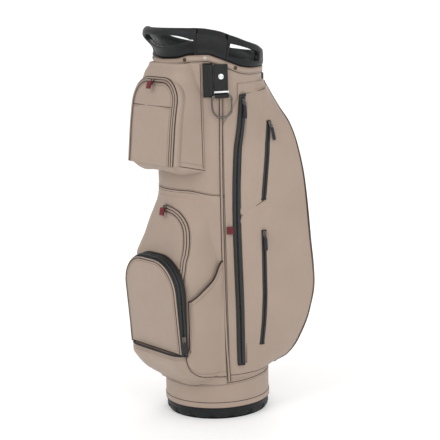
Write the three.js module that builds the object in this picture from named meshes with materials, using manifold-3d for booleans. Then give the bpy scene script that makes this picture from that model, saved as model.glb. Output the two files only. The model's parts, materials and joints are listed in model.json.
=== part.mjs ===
// Golf cart bag: a round club tube on a moulded base, a slanted top cuff with
// three handles, a divider, and zipped pockets on the front and both sides.
//
// Millimetres, +Z up. The origin is the centre of the base's underside, the
// front (ball pocket) faces -Y, and the bag is mirrored across the YZ plane
// except for the towel ring and the umbrella holder, which are on the +X side.
// Angles go round the tube in degrees: 0 is the front, 90 is the +X side.

import * as THREE from 'three';
import Module from 'manifold-3d';
import { mergeVertices } from 'three/addons/utils/BufferGeometryUtils.js';

const wasm = await Module();
wasm.setup();

// ---------------------------------------------------------------- dimensions
const GAP = 0.3;
const RING_STEP = 7.5;

const TUBE_R = 125;
const SKIN_T = 2.7;
const LINER_R = TUBE_R - SKIN_T - GAP;
const LINER_T = 4;
const CLEAR_R = TUBE_R + GAP;

const BASE_R = 123;
const SOLE_R = 118;
const SOLE_H = 3;
const BASE_TOP = 28;
const TRIM_TOP = 41.7;
const WAIST_Z = 547;

const CUFF_SEAT = 1.2;
const CUFF_IN_R = 119;
const CUFF_OUT_R = 131;
const POST_R = 124;
const GRIP_R = 134;
const GRIP_FROM = 37.2;
const GRIP_TO = 73.2;
const SIDE_HANDLE_TO = 120;
const HANDLE_T = 13;
const RIM_FLARE = 25;
const FOOT_TUCK = 6;
const FLARE_FROM = 45;
const FLARE_TO = 128;

const DIVIDER_R = 116.8;
const DIVIDER_T = 4;
const DIVIDER_BOTTOM = SOLE_H + 5.6;
const ROW_Y = [-62, 0, 60];
const INNER_RIB_X = 56;
const OUTER_RIB_X = 34;

const BALL_FACE_Y = 190;
const BALL_DOOR_T = 3;
const BALL_BACK_Y = 168.2;
const BALL_HALF = 99;
const BALL_LOW = 178;
const BALL_HIGH = 395;
const BALL_CORNER = 75;

const UPPER_FACE_Y = 171;
const UPPER_DOOR_T = 2.6;
const UPPER_HALF = 74;
const UPPER_LOW = 615;
const UPPER_HIGH = 799;
const UPPER_TAPE_W = 11;

const PULL_W = 9;
const PULL_L = 36;
const PULL_T = 2.4;
const ARM_TIP = 1;
const SLIDER_W = 9;
const SLIDER_H = 13;
const SLIDER_T = 4.6;
const RED_PULL_W = 12;
const RED_PULL_L = 19;

const RING_ANGLE = 65;
const RING_R = 135.5;
const RING_Z = 768;
const RING_WIRE = 2.4;

const UMBRELLA_ANGLE = 149;
const LOOP_ANGLE = 155;
const UMBRELLA_R = 140;

// Rim heights round the bag, as [angle, z]. The rim is highest at the front.
const CUFF_LOW = [
  [0, 853], [18, 854.6], [35, 862], [51, 862.5], [62, 854.7],
  [75, 842.8], [90, 831], [104, 827], [135, 826], [180, 824],
];
const RIM_TOP = [
  [0, 922], [41, 922], [57, 917], [77, 903], [94, 889], [117, 876], [135, 866], [180, 857],
];

// Pocket stations, as [z, depth in front of the axis, half width, squareness of the corners].
const SKIRT = [
  [88, 134, 80, 7], [100, 150, 94, 7], [115, 169, 104, 7], [140, 184, 110, 7], [158, 190, 111, 7],
  [173.4, 189, 110, 7],
];
const FRONT = [
  [174, 167.5, 107, 9], [300, 167.5, 109, 9], [390, 166, 106, 9], [412, 160, 103, 7.5],
  [430, 155, 100, 6], [455, 148, 97, 5], [480, 141, 97, 4], [500, 135.5, 99, 3.2],
  [520, 130.6, 102, 2.6], [552, 127.4, 105, 2.2], [590, 127.4, 110, 2.2],
];
const UPPER = [
  [590, 178, 90.5, 12], [640, 174, 91, 14], [667, 171, 91, 14], [700, 167.5, 91.5, 14], [730, 163, 91.5, 14],
  [750, 159.5, 91.5, 12], [771, 155, 90, 10], [792, 152, 85, 7], [800, 150.5, 83, 6], [820, 144.5, 80, 6],
  [836, 137, 76, 6],
];

// Side pocket stations, as [z, main zip x y, small zips x y, rear corner x y].
const SIDE = [
  [104, 126.5, -24, 127, 22, 93.5, 83], [112, 127, -25, 131, 26, 99.5, 101],
  [130, 128, -26, 137, 26, 122.5, 121], [168, 129, -27, 145, 23, 147, 135],
  [245, 132, -28, 161, 20, 182, 142.5], [320, 136, -32, 171, 16, 198, 145],
  [430, 135, -33, 169, 18, 192.5, 140], [560, 131, -28, 159, 30, 180, 136.5],
  [640, 130.5, -22, 150, 42, 164, 130.5], [690, 130, -12, 138, 50, 144, 125],
  [730, 129, -6, 130, 58, 114, 117], [770, 127.5, -2, 119, 68, 91, 107],
  [792, 126.8, 0, 110, 70, 82.5, 101],
];
const SIDE_FRONT_ANGLE = 66;
const SIDE_REAR_ANGLE = 144;

// ------------------------------------------------------------------- colours
const TAN = new THREE.MeshStandardMaterial({ color: 0xa89689, roughness: 0.62, metalness: 0 });
const DARK = new THREE.MeshStandardMaterial({ color: 0x2b2d30, roughness: 0.6, metalness: 0 });
const PLASTIC = new THREE.MeshStandardMaterial({ color: 0x232527, roughness: 0.45, metalness: 0 });
const RUBBER = new THREE.MeshStandardMaterial({ color: 0x1c1d1e, roughness: 0.85, metalness: 0 });
const LINING = new THREE.MeshStandardMaterial({ color: 0x3a3a3c, roughness: 0.9, metalness: 0 });
const RED = new THREE.MeshStandardMaterial({ color: 0x8e2a2f, roughness: 0.55, metalness: 0 });
const SILVER = new THREE.MeshStandardMaterial({ color: 0xc9cbcd, roughness: 0.3, metalness: 1 });
const GUNMETAL = new THREE.MeshStandardMaterial({ color: 0x5c6064, roughness: 0.35, metalness: 1 });

// ------------------------------------------------------------------- helpers
const group = new THREE.Group();

function addMesh(name, geometry, material, parent = group) {
  const mesh = new THREE.Mesh(geometry, material);
  mesh.name = name;
  parent.add(mesh);
  return mesh;
}

function radians(degrees) {
  return (degrees * Math.PI) / 180;
}

function mix(a, b, t) {
  return a + (b - a) * t;
}

// Eases from 0 at x = a to 1 at x = b.
function smooth(x, a, b) {
  const t = Math.min(Math.max((x - a) / (b - a), 0), 1);
  return t * t * (3 - 2 * t);
}

// A smooth curve through [x, value, value...] rows, held level past both ends.
function follow(rows, x, column = 1) {
  const last = rows.length - 1;
  if (x <= rows[0][0]) return rows[0][column];
  if (x >= rows[last][0]) return rows[last][column];
  let i = 0;
  while (x > rows[i + 1][0]) i += 1;
  const [x0, x1] = [rows[i][0], rows[i + 1][0]];
  const [v0, v1] = [rows[i][column], rows[i + 1][column]];
  const slope = (k) => {
    if (k <= 0 || k >= last) return 0;
    const before = (rows[k][column] - rows[k - 1][column]) / (rows[k][0] - rows[k - 1][0]);
    const after = (rows[k + 1][column] - rows[k][column]) / (rows[k + 1][0] - rows[k][0]);
    return before * after > 0 ? (2 * before * after) / (before + after) : 0;
  };
  const h = x1 - x0;
  const t = (x - x0) / h;
  const rise = t * t * (3 - 2 * t);
  const ease0 = t * (1 - t) * (1 - t) * h * slope(i);
  const ease1 = t * t * (t - 1) * h * slope(i + 1);
  return v0 + (v1 - v0) * rise + ease0 + ease1;
}

function onTube(angle, radius, z) {
  const a = radians(angle);
  return new THREE.Vector3(radius * Math.sin(a), -radius * Math.cos(a), z);
}

function span(from, to, count) {
  return Array.from({ length: count + 1 }, (_, i) => mix(from, to, i / count));
}

// Radius that keeps straight chords between columns clear of a round wall.
function outsideWall(radius, step) {
  return radius / Math.cos(radians(step / 2));
}

// Joins equal rings of points into one closed solid. The first half of a ring
// is its outer side and the second half comes back along its inner side.
function loft(rings, closed = false) {
  const n = rings[0].length;
  const positions = rings.flat().flatMap((p) => [p.x, p.y, p.z]);
  const triangles = [];
  const quad = (a, b, c, d) => triangles.push(a, b, c, a, c, d);
  const joins = closed ? rings.length : rings.length - 1;
  for (let k = 0; k < joins; k += 1) {
    const here = k * n;
    const next = ((k + 1) % rings.length) * n;
    for (let j = 0; j < n; j += 1) {
      const m = (j + 1) % n;
      quad(here + j, next + j, next + m, here + m);
    }
  }
  if (!closed) {
    const end = (rings.length - 1) * n;
    for (let i = 0; i < n / 2 - 1; i += 1) {
      quad(i, i + 1, n - 2 - i, n - 1 - i);
      quad(end + i, end + n - 1 - i, end + n - 2 - i, end + i + 1);
    }
  }
  const geometry = new THREE.BufferGeometry();
  geometry.setAttribute('position', new THREE.Float32BufferAttribute(positions, 3));
  geometry.setIndex(triangles);
  return facingOut(geometry);
}

function signedVolume(geometry) {
  const p = geometry.getAttribute('position');
  const index = geometry.getIndex().array;
  const [a, b, c] = [new THREE.Vector3(), new THREE.Vector3(), new THREE.Vector3()];
  let sum = 0;
  for (let i = 0; i < index.length; i += 3) {
    a.fromBufferAttribute(p, index[i]);
    b.fromBufferAttribute(p, index[i + 1]);
    c.fromBufferAttribute(p, index[i + 2]);
    sum += a.dot(b.cross(c));
  }
  return sum / 6;
}

function facingOut(geometry) {
  if (signedVolume(geometry) < 0) {
    const index = geometry.getIndex().array;
    for (let i = 0; i < index.length; i += 3) {
      [index[i], index[i + 1]] = [index[i + 1], index[i]];
    }
  }
  return geometry;
}

// A wall round the tube between two heights and two radii.
function wall({ angles, rows = 1, low, high, inner, outer, closed = false }) {
  const rings = angles.map((angle) => {
    const heights = span(low(angle), high(angle), rows);
    const outside = heights.map((z) => onTube(angle, outer(angle, z), z));
    const inside = heights.map((z) => onTube(angle, inner(angle, z), z));
    return [...outside, ...inside.reverse()];
  });
  return loft(rings, closed);
}

function ring(low, high, inner, outer, rows = 1) {
  const angles = span(0, 360 - RING_STEP, 360 / RING_STEP - 1);
  return wall({ angles, rows, low, high, inner: () => inner, outer: () => outer, closed: true });
}

// Radius of a rounded box round the axis: flat front, flat sides, soft corners.
function boxRadius(angle, depth, halfWidth, power) {
  const a = radians(angle);
  const across = Math.abs(Math.sin(a)) / halfWidth;
  const forward = Math.max(Math.cos(a), 0) / depth;
  return (across ** power + forward ** power) ** (-1 / power);
}

function manifoldOf(geometry) {
  const bare = geometry.clone();
  bare.deleteAttribute('normal');
  bare.deleteAttribute('uv');
  const merged = mergeVertices(bare, 1e-4);
  const vertProperties = new Float32Array(merged.getAttribute('position').array);
  const triVerts = new Uint32Array(merged.getIndex().array);
  return new wasm.Manifold(new wasm.Mesh({ numProp: 3, vertProperties, triVerts }));
}

function geometryOf(manifold) {
  const mesh = manifold.getMesh();
  const geometry = new THREE.BufferGeometry();
  geometry.setAttribute('position', new THREE.Float32BufferAttribute(mesh.vertProperties, 3));
  geometry.setIndex(Array.from(mesh.triVerts));
  return geometry;
}

function cut(geometry, ...tools) {
  return geometryOf(tools.reduce((left, tool) => left.subtract(manifoldOf(tool)), manifoldOf(geometry)));
}

function join(...pieces) {
  return geometryOf(pieces.slice(1).reduce((sum, p) => sum.add(manifoldOf(p)), manifoldOf(pieces[0])));
}

function common(a, b) {
  return geometryOf(manifoldOf(a).intersect(manifoldOf(b)));
}

function block(x0, x1, y0, y1, z0, z1) {
  const geometry = new THREE.BoxGeometry(x1 - x0, y1 - y0, z1 - z0);
  geometry.translate((x0 + x1) / 2, (y0 + y1) / 2, (z0 + z1) / 2);
  return geometry;
}

function rod(radius, length, sides = 16) {
  return new THREE.CylinderGeometry(radius, radius, length, sides);
}

// A frame on a wall: x runs along the wall, y is up it, and z points out of it.
// tilt is how far the wall leans back from upright.
function wallFrame(point, facing, tilt = 0) {
  const a = radians(facing);
  const t = radians(tilt);
  const holder = new THREE.Group();
  const along = new THREE.Vector3(Math.cos(a), Math.sin(a), 0);
  const level = new THREE.Vector3(Math.sin(a), -Math.cos(a), 0);
  const up = new THREE.Vector3(0, 0, Math.cos(t)).addScaledVector(level, -Math.sin(t));
  const out = new THREE.Vector3(0, 0, Math.sin(t)).addScaledVector(level, Math.cos(t));
  const basis = new THREE.Matrix4().makeBasis(along, up, out);
  holder.quaternion.setFromRotationMatrix(basis);
  holder.position.copy(point);
  group.add(holder);
  return holder;
}

function mirrored(geometry) {
  const copy = geometry.clone();
  copy.scale(-1, 1, 1);
  return facingOut(copy);
}

const cuffLow = (angle) => follow(CUFF_LOW, turnFromFront(angle));
const rimTop = (angle) => follow(RIM_TOP, turnFromFront(angle));
const trimLow = (angle) => cuffLow(angle) - 15;
const bandTop = (angle) => 92 - 7 * Math.cos(radians(angle));

function turnFromFront(angle) {
  const turn = ((angle % 360) + 360) % 360;
  return turn > 180 ? 360 - turn : turn;
}

// ---------------------------------------------------------------------- base
const soleGeometry = rod(SOLE_R, SOLE_H, 48);
soleGeometry.rotateX(Math.PI / 2);
soleGeometry.translate(0, 0, SOLE_H / 2);
addMesh('base_sole', soleGeometry, RUBBER);

const floorTop = SOLE_H + GAP + 5;
const cupProfile = [
  [0, SOLE_H + GAP], [BASE_R - 2, SOLE_H + GAP], [BASE_R, SOLE_H + 3], [BASE_R, BASE_TOP],
  [BASE_R - 6, BASE_TOP], [BASE_R - 6, floorTop], [0, floorTop],
];
const cupGeometry = new THREE.LatheGeometry(cupProfile.map(([r, z]) => new THREE.Vector2(r, z)), 48);
cupGeometry.rotateX(Math.PI / 2);
addMesh('base_cup', cut(cupGeometry), PLASTIC);

// ---------------------------------------------------------------------- tube
const linerIn = LINER_R - LINER_T;
addMesh('lower_trim', ring(() => BASE_TOP + GAP, () => TRIM_TOP, TUBE_R - SKIN_T, TUBE_R + 1.4), TAN);
addMesh('lower_band', ring(() => TRIM_TOP + GAP, (a) => bandTop(a) - GAP, TUBE_R - SKIN_T, TUBE_R), TAN);
addMesh('lower_skin', ring(bandTop, () => WAIST_Z - GAP, TUBE_R - SKIN_T, TUBE_R), TAN);
addMesh('upper_skin', ring(() => WAIST_Z, (a) => trimLow(a) - GAP, TUBE_R - SKIN_T, TUBE_R), TAN);
addMesh('collar_trim', ring(trimLow, (a) => cuffLow(a) - CUFF_SEAT, TUBE_R - SKIN_T, TUBE_R + 2.4), TAN);
addMesh('tube_liner', ring(() => BASE_TOP + GAP, (a) => cuffLow(a) - CUFF_SEAT, linerIn, LINER_R), LINING);

// ------------------------------------------------------------ cuff and rails
// Centre height of the slot above the cuff under each side handle.
const sideSlot = (angle) => mix(874, 849, (turnFromFront(angle) - 76) / 42);
const SLOT_ABOVE = 10.5;
const SLOT_BELOW = 17;
const EDGE = 0.1;

// How far the cuff leans out at a height: tucked in at its foot and out at its rim, most at the front.
function flare(angle, z) {
  const fade = 1 - smooth(turnFromFront(angle), FLARE_FROM, FLARE_TO);
  const rise = (z - cuffLow(angle)) / (rimTop(angle) - cuffLow(angle));
  return fade * (RIM_FLARE * smooth(rise, 0.1, 0.8) - FOOT_TUCK);
}
const cuffInner = (angle, z) => CUFF_IN_R + Math.max(flare(angle, z), 0);

function cuffHigh(angle) {
  const turn = turnFromFront(angle);
  if (turn < GRIP_FROM - EDGE) return 880 + 14 * (turn / GRIP_FROM) ** 1.5;
  if (turn < GRIP_TO - EDGE) return rimTop(turn) - 3;
  if (turn < SIDE_HANDLE_TO - EDGE) return sideSlot(turn) - SLOT_BELOW + 6.5 * ((turn - 76) / 42) ** 2;
  return rimTop(turn);
}

function cuffOuter(angle, z) {
  const turn = turnFromFront(angle);
  const post = turn > GRIP_FROM - EDGE && turn < GRIP_TO - EDGE;
  return post ? POST_R + Math.max(flare(angle, z), 0) : CUFF_OUT_R + flare(angle, z);
}

const halfCuff = [
  ...span(0, GRIP_FROM - 0.2, 6), ...span(GRIP_FROM, GRIP_TO - 0.2, 6),
  ...span(GRIP_TO, SIDE_HANDLE_TO - 0.2, 8), ...span(SIDE_HANDLE_TO, 180, 8),
];
const cuffAngles = [...halfCuff, ...halfCuff.slice(1, -1).map((a) => 360 - a).reverse()];
addMesh('top_cuff', wall({
  angles: cuffAngles,
  rows: 5,
  low: cuffLow,
  high: cuffHigh,
  inner: cuffInner,
  outer: cuffOuter,
  closed: true,
}), PLASTIC);

const handleOuter = (angle, z) => CUFF_OUT_R + flare(angle, z);
const handleInner = (angle, z) => handleOuter(angle, z) - HANDLE_T;
addMesh('front_handle', wall({
  angles: span(-GRIP_FROM + 0.5, GRIP_FROM - 0.5, 16),
  low: (a) => 911 - 12 * (a / GRIP_FROM) ** 4,
  high: () => 922,
  inner: handleInner,
  outer: handleOuter,
}), PLASTIC);

const sideHandle = wall({
  angles: span(GRIP_TO + 0.4, SIDE_HANDLE_TO - 0.6, 12),
  low: (a) => sideSlot(a) + SLOT_ABOVE,
  high: rimTop,
  inner: handleInner,
  outer: handleOuter,
});
addMesh('side_handle_right', sideHandle, PLASTIC);
addMesh('side_handle_left', mirrored(sideHandle), PLASTIC);

const gripWrap = wall({
  angles: span(GRIP_FROM + 0.3, GRIP_TO - 0.5, 8),
  rows: 5,
  low: (a) => cuffLow(a) + 0.2,
  high: rimTop,
  inner: (a, z) => outsideWall(POST_R + GAP, 5) + 0.8 + Math.max(flare(a, z), 0),
  outer: (a, z) => GRIP_R - 3 * ((z - 890) / 40) ** 2 + flare(a, z),
});
addMesh('grip_wrap_right', gripWrap, DARK);
addMesh('grip_wrap_left', mirrored(gripWrap), DARK);

// ------------------------------------------------------------------- divider
// Full-depth walls that split the tube into three, four, four and three wells.
const dividerTop = (y) => 843 - 0.215 * y;
const coreGeometry = rod(DIVIDER_R, 2, 48);
coreGeometry.rotateX(Math.PI / 2);
const corePoints = coreGeometry.getAttribute('position');
for (let i = 0; i < corePoints.count; i += 1) {
  const top = corePoints.getZ(i) > 0;
  corePoints.setZ(i, top ? dividerTop(corePoints.getY(i)) : DIVIDER_BOTTOM);
}

function dividerWall(rowY, frontRibs, frontEnd, rearRibs, rearEnd) {
  const half = DIVIDER_T / 2;
  const pieces = [block(-130, 130, rowY - half, rowY + half, 0, 900)];
  frontRibs.forEach((x) => pieces.push(block(x - half, x + half, frontEnd, rowY, 0, 900)));
  rearRibs.forEach((x) => pieces.push(block(x - half, x + half, rowY, rearEnd, 0, 900)));
  return common(join(...pieces), coreGeometry);
}
const innerRibs = [-INNER_RIB_X, 0, INNER_RIB_X];
const outerRibs = [-OUTER_RIB_X, OUTER_RIB_X];
const nextTo = (rowY) => rowY + DIVIDER_T / 2 + GAP;
addMesh('divider_front', dividerWall(ROW_Y[0], outerRibs, -130, [], 0), LINING);
addMesh('divider_middle', dividerWall(ROW_Y[1], innerRibs, nextTo(ROW_Y[0]), [], 0), LINING);
addMesh('divider_rear', dividerWall(ROW_Y[2], innerRibs, nextTo(ROW_Y[1]), outerRibs, 130), LINING);

// ----------------------------------------------------------- front pockets
const FRONT_STEP = 6.2;
const FRONT_TO = 62;
const frontAngles = span(-FRONT_TO, FRONT_TO, 20);
const frontInner = () => outsideWall(CLEAR_R, FRONT_STEP);

function frontRadius(stations, angle, z) {
  const radius = boxRadius(angle, follow(stations, z, 1), follow(stations, z, 2), follow(stations, z, 3));
  return Math.max(radius, frontInner() + 1.6);
}

addMesh('front_skirt', wall({
  angles: frontAngles, rows: 6, low: () => 88, high: () => 173.4,
  inner: frontInner, outer: (a, z) => frontRadius(SKIRT, a, z),
}), TAN);

const frontBodyRadius = (a, z) => frontRadius(FRONT, a, z);
const frontBody = wall({
  angles: frontAngles, rows: 16, low: () => 174, high: () => 590, inner: frontInner, outer: frontBodyRadius,
});
addMesh('front_body', cut(frontBody, block(-86, 86, -200, -138, 192, 376)), TAN);

// Half width of an arch with a level top, at height z.
function archHalf(z, half, high, corner) {
  const above = Math.min(Math.max((z - (high - corner)) / corner, 0), 1);
  return half - corner + corner * Math.sqrt(1 - above * above);
}

function archRows(low, high, corner) {
  const bends = span(0, 90, 8).map((a) => high - corner + corner * Math.sin(radians(a)));
  return [low, mix(low, high - corner, 0.5), ...bends];
}

// A slab with an arched outline between two distances in front of the axis.
function archSlab({ half, low, high, corner, near, far, lean = () => 0 }) {
  return loft(archRows(low, high, corner).map((z) => {
    const w = archHalf(z, half, high, corner);
    const front = -far + lean(z);
    const back = -near + lean(z);
    const point = (x, y) => new THREE.Vector3(x, y, z);
    return [point(-w, front), point(w, front), point(w, back), point(-w, back)];
  }));
}

// The ball pocket's face leans forward towards its top.
const ballLean = (z) => 0.08 * (300 - z);
const ballGussetFront = BALL_FACE_Y - BALL_DOOR_T - GAP;
const gussetOutline = (grow, y, lean) => {
  const [low, high, corner] = [BALL_LOW - 3 - grow * 0.1, BALL_HIGH + grow, BALL_CORNER + 2 * grow];
  const right = archRows(low, high, corner).map((z) => (
    new THREE.Vector3(archHalf(z, BALL_HALF + 1 + grow, high, corner), -y + lean * ballLean(z), z)
  ));
  return [...right, ...right.map((p) => new THREE.Vector3(-p.x, p.y, p.z)).reverse()];
};
const ballGusset = cut(
  loft([gussetOutline(8, BALL_BACK_Y, 0), gussetOutline(0, ballGussetFront, 1)]),
  archSlab({
    half: BALL_HALF - 7, low: BALL_LOW + 5, high: BALL_HIGH - 8, corner: BALL_CORNER - 8, near: 150, far: 205,
  }),
);
addMesh('ball_gusset', ballGusset, DARK);

addMesh('ball_door', archSlab({
  half: BALL_HALF, low: BALL_LOW, high: BALL_HIGH, corner: BALL_CORNER,
  near: BALL_FACE_Y - BALL_DOOR_T, far: BALL_FACE_Y, lean: ballLean,
}), TAN);

// Zip tape that lies on a wall, from its left end over the top to its right end.
function surfaceTape(path, width, onWall, thickness) {
  const rings = path.map((p, i) => {
    const before = path[Math.max(i - 1, 0)];
    const after = path[Math.min(i + 1, path.length - 1)];
    const along = new THREE.Vector2(after[0] - before[0], after[1] - before[1]).normalize();
    const side = new THREE.Vector2(along.y, -along.x).multiplyScalar(width / 2);
    const place = (k, out) => onWall(p[0] + side.x * k, p[1] + side.y * k, out);
    return [place(-1, thickness), place(1, thickness), place(1, 0), place(-1, 0)];
  });
  return loft(rings);
}

// A point on the front body's wall at height z, with arc distance x from the centre line.
function onFront(x, z, out) {
  let angle = 0;
  let travelled = 0;
  let here = onTube(0, frontBodyRadius(0, z), z);
  const step = 0.5;
  while (travelled < Math.abs(x)) {
    const next = onTube(angle + step, frontBodyRadius(angle + step, z), z);
    travelled += next.distanceTo(here);
    here = next;
    angle += step;
  }
  const radius = frontBodyRadius(angle, z) + 1.8 + out;
  return onTube(Math.sign(x) * angle, radius, z);
}

const MIDDLE_TOP = 505;
const MIDDLE_ARCH = [
  [87, 346], [92.5, 378], [93.5, 404], [89.5, 425], [84, 444], [78, 460.5], [70, 474], [58, 486],
  [42.5, 496], [22, 502.5],
];
// The middle zip runs from the pocket's top down its +X side only.
const middleStops = [[-9, MIDDLE_TOP - 0.3], [0, MIDDLE_TOP], ...[...MIDDLE_ARCH].reverse()];
const middleCurve = new THREE.SplineCurve(middleStops.map(([x, z]) => new THREE.Vector2(x, z)));
const middlePath = middleCurve.getPoints(30).map((p) => [p.x, p.y]);
addMesh('middle_zip_tape', surfaceTape(middlePath, 11, onFront, 1.6), TAN);

// ------------------------------------------------------------- slip pockets
const SLIP_FROM = 37;
const SLIP_TO = 61;
const slipHigh = (angle) => follow([[37, 306], [43, 322], [52, 346], [61, 384]], angle);
const slipLow = (angle) => follow([[37, 232], [41, 184], [46, 184], [61, 180]], angle);
function slipInner(angle, z) {
  const rise = (z - slipLow(angle)) / (slipHigh(angle) - slipLow(angle));
  return frontBodyRadius(angle, z) + 1.8 + 7.5 * rise;
}
const slipPocket = wall({
  angles: span(SLIP_FROM, SLIP_TO, 8), rows: 5, low: slipLow, high: slipHigh,
  inner: slipInner, outer: (a, z) => slipInner(a, z) + 2.2,
});
addMesh('slip_pocket_right', slipPocket, TAN);
addMesh('slip_pocket_left', mirrored(slipPocket), TAN);

// -------------------------------------------------------------- upper pocket
const UPPER_TO = 45.6;
const UPPER_STEP = 5.7;
const upperInner = () => outsideWall(CLEAR_R, UPPER_STEP);
const upperBottom = (y) => 613 - 0.25 * (y + 170);
const upperBodyRadius = (a, z) => Math.max(
  boxRadius(a, follow(UPPER, z, 1), follow(UPPER, z, 2), follow(UPPER, z, 3)), upperInner() + 1.6,
);
const upperBody = wall({
  angles: span(-UPPER_TO, UPPER_TO, 16),
  rows: 14,
  low: (a) => upperBottom(-boxRadius(a, 176, 91, 12) * Math.cos(radians(a))),
  high: () => 835,
  inner: upperInner,
  outer: upperBodyRadius,
});
addMesh('upper_body', upperBody, TAN);

// The door and its zip stand 5 mm off the pocket's front.
const upperLean = (z) => UPPER_FACE_Y - 5 - follow(UPPER, z, 1);
const upperBack = UPPER_FACE_Y - UPPER_DOOR_T;
addMesh('upper_door', archSlab({
  half: UPPER_HALF, low: UPPER_LOW, high: UPPER_HIGH, corner: 45, near: upperBack, far: UPPER_FACE_Y,
  lean: upperLean,
}), TAN);
const upperTape = cut(
  archSlab({
    half: UPPER_HALF + UPPER_TAPE_W, low: UPPER_LOW, high: UPPER_HIGH + 9, corner: 56,
    near: upperBack, far: UPPER_FACE_Y - 0.6, lean: upperLean,
  }),
  archSlab({
    half: UPPER_HALF + GAP, low: UPPER_LOW - 20, high: UPPER_HIGH + GAP, corner: 45, near: 120, far: 200,
  }),
);
addMesh('upper_zip_tape', upperTape, TAN);

// -------------------------------------------------------------- side pockets
function sideKnots(z) {
  const at = (column) => follow(SIDE, z, column);
  const front = mix(SIDE_FRONT_ANGLE, 84, Math.min(Math.max((z - 700) / 60, 0), 1));
  const rear = mix(140, SIDE_REAR_ANGLE, Math.min(Math.max((z - 120) / 60, 0), 1));
  const start = onTube(front, CLEAR_R + 1.6, z);
  const main = new THREE.Vector3(at(1), at(2), z);
  const small = new THREE.Vector3(at(3), at(4), z);
  const corner = new THREE.Vector3(at(5), at(6), z);
  const end = onTube(rear, CLEAR_R + 2.4, z);
  const flank = small.clone().lerp(corner, 0.5);
  const outward = new THREE.Vector3(corner.y - small.y, small.x - corner.x, 0).normalize();
  flank.addScaledVector(outward, 6 * Math.min(corner.distanceTo(small) / 120, 1));
  const rearFace = corner.clone().lerp(end, 0.5);
  rearFace.y += 6 * Math.min(corner.distanceTo(end) / 120, 1);
  return { front, rear, points: [start, main, small, flank, corner, rearFace, end] };
}

// A point on the side pocket: 0 is its front edge, 1 the main zip, 2 the small zips, 4 the rear corner.
function onSide(knot, z) {
  const curve = new THREE.CatmullRomCurve3(sideKnots(z).points, false, 'catmullrom', 0.5);
  return curve.getPoint(knot / 6);
}

const SIDE_COLUMNS = 20;
const sideHeights = [
  104, 112, 130, 168, 206, 245, 282, 320, 375, 430, 495, 560, 600, 640, 690, 730, 770, 792,
];
const sidePocket = loft(sideHeights.map((z) => {
  const { front, rear } = sideKnots(z);
  const step = (SIDE_REAR_ANGLE - SIDE_FRONT_ANGLE) / SIDE_COLUMNS;
  const inside = span(front, rear, SIDE_COLUMNS).map((a) => onTube(a, outsideWall(CLEAR_R, step), z));
  const outside = span(0, 6, SIDE_COLUMNS).map((knot, i) => {
    const p = onSide(knot, z);
    const reach = Math.hypot(p.x, p.y);
    const least = Math.hypot(inside[i].x, inside[i].y) + 1.4;
    return reach < least ? p.multiply(new THREE.Vector3(least / reach, least / reach, 1)) : p;
  });
  return [...outside, ...inside.reverse()];
}));
addMesh('side_pocket_right', sidePocket, TAN);
addMesh('side_pocket_left', mirrored(sidePocket), TAN);

const mainHeights = [758, 735, 710, 690, 660, 620, 580, 540, 480, 430, 375, 320, 282, 245, 206, 168, 136];
const mainTape = loft(mainHeights.map((z) => {
  const middle = onSide(1, z);
  const ahead = onSide(1.15, z).sub(onSide(0.85, z)).normalize();
  const out = new THREE.Vector3(ahead.y, -ahead.x, 0);
  const place = (k, rise) => middle.clone().addScaledVector(ahead, 8 * k).addScaledVector(out, rise);
  return [place(-1, 4.2), place(1, 4.2), place(1, 2.6), place(-1, 2.6)];
}));
addMesh('main_zip_tape_right', mainTape, DARK);
addMesh('main_zip_tape_left', mirrored(mainTape), DARK);

// --------------------------------------------------------- sliders and pulls
// Each slider rides on a tape, and its pull hangs from a pin across its foot.
const PIVOT_DROP = SLIDER_H / 2 - 2.5;
const PIVOT_OUT = SLIDER_T + 1.6;

function sliderGeometry() {
  const body = block(-SLIDER_W / 2, SLIDER_W / 2, -SLIDER_H / 2, SLIDER_H / 2, 0, SLIDER_T);
  const lug = block(-1.6, 1.6, -SLIDER_H / 2, SLIDER_H / 2 - 4, SLIDER_T - 1, SLIDER_T + 4);
  const eye = rod(1.1, 20, 12);
  eye.rotateZ(Math.PI / 2);
  eye.translate(0, -PIVOT_DROP, PIVOT_OUT);
  return cut(join(body, lug), eye);
}

// A flat pull with a fork at its top, and a pin across the fork.
function pullGeometry(width, length, thickness) {
  const plate = block(-width / 2, width / 2, -length, -6, -thickness / 2, thickness / 2);
  const leftArm = block(-width / 2, -2.2, -6.5, ARM_TIP, -thickness / 2, thickness / 2);
  const rightArm = block(2.2, width / 2, -6.5, ARM_TIP, -thickness / 2, thickness / 2);
  const pin = rod(0.9, 5.4, 12);
  pin.rotateZ(Math.PI / 2);
  return join(plate, leftArm, rightArm, pin);
}

function addZipPull(name, point, facing, tilt, pullColour, width, length) {
  const holder = wallFrame(point, facing, tilt);
  addMesh(`${name}_slider`, sliderGeometry(), GUNMETAL, holder);
  const pull = addMesh(`${name}_pull`, pullGeometry(width, length, PULL_T), pullColour, holder);
  pull.position.set(0, -PIVOT_DROP, PIVOT_OUT);
}

const middleSpot = new THREE.Vector3(0, -frontBodyRadius(0, MIDDLE_TOP) - 4.4, MIDDLE_TOP + 1);
const upperSpot = new THREE.Vector3(-4, -UPPER_FACE_Y + upperLean(800) - 2.6, 801.5);
addZipPull('ball', new THREE.Vector3(105.8, -175.3, 216), 62, 0, DARK, PULL_W, 30);
addZipPull('middle', middleSpot, 0, 15, RED, RED_PULL_W, RED_PULL_L);
addZipPull('upper', upperSpot, 0, 24, RED, RED_PULL_W, RED_PULL_L);

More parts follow.
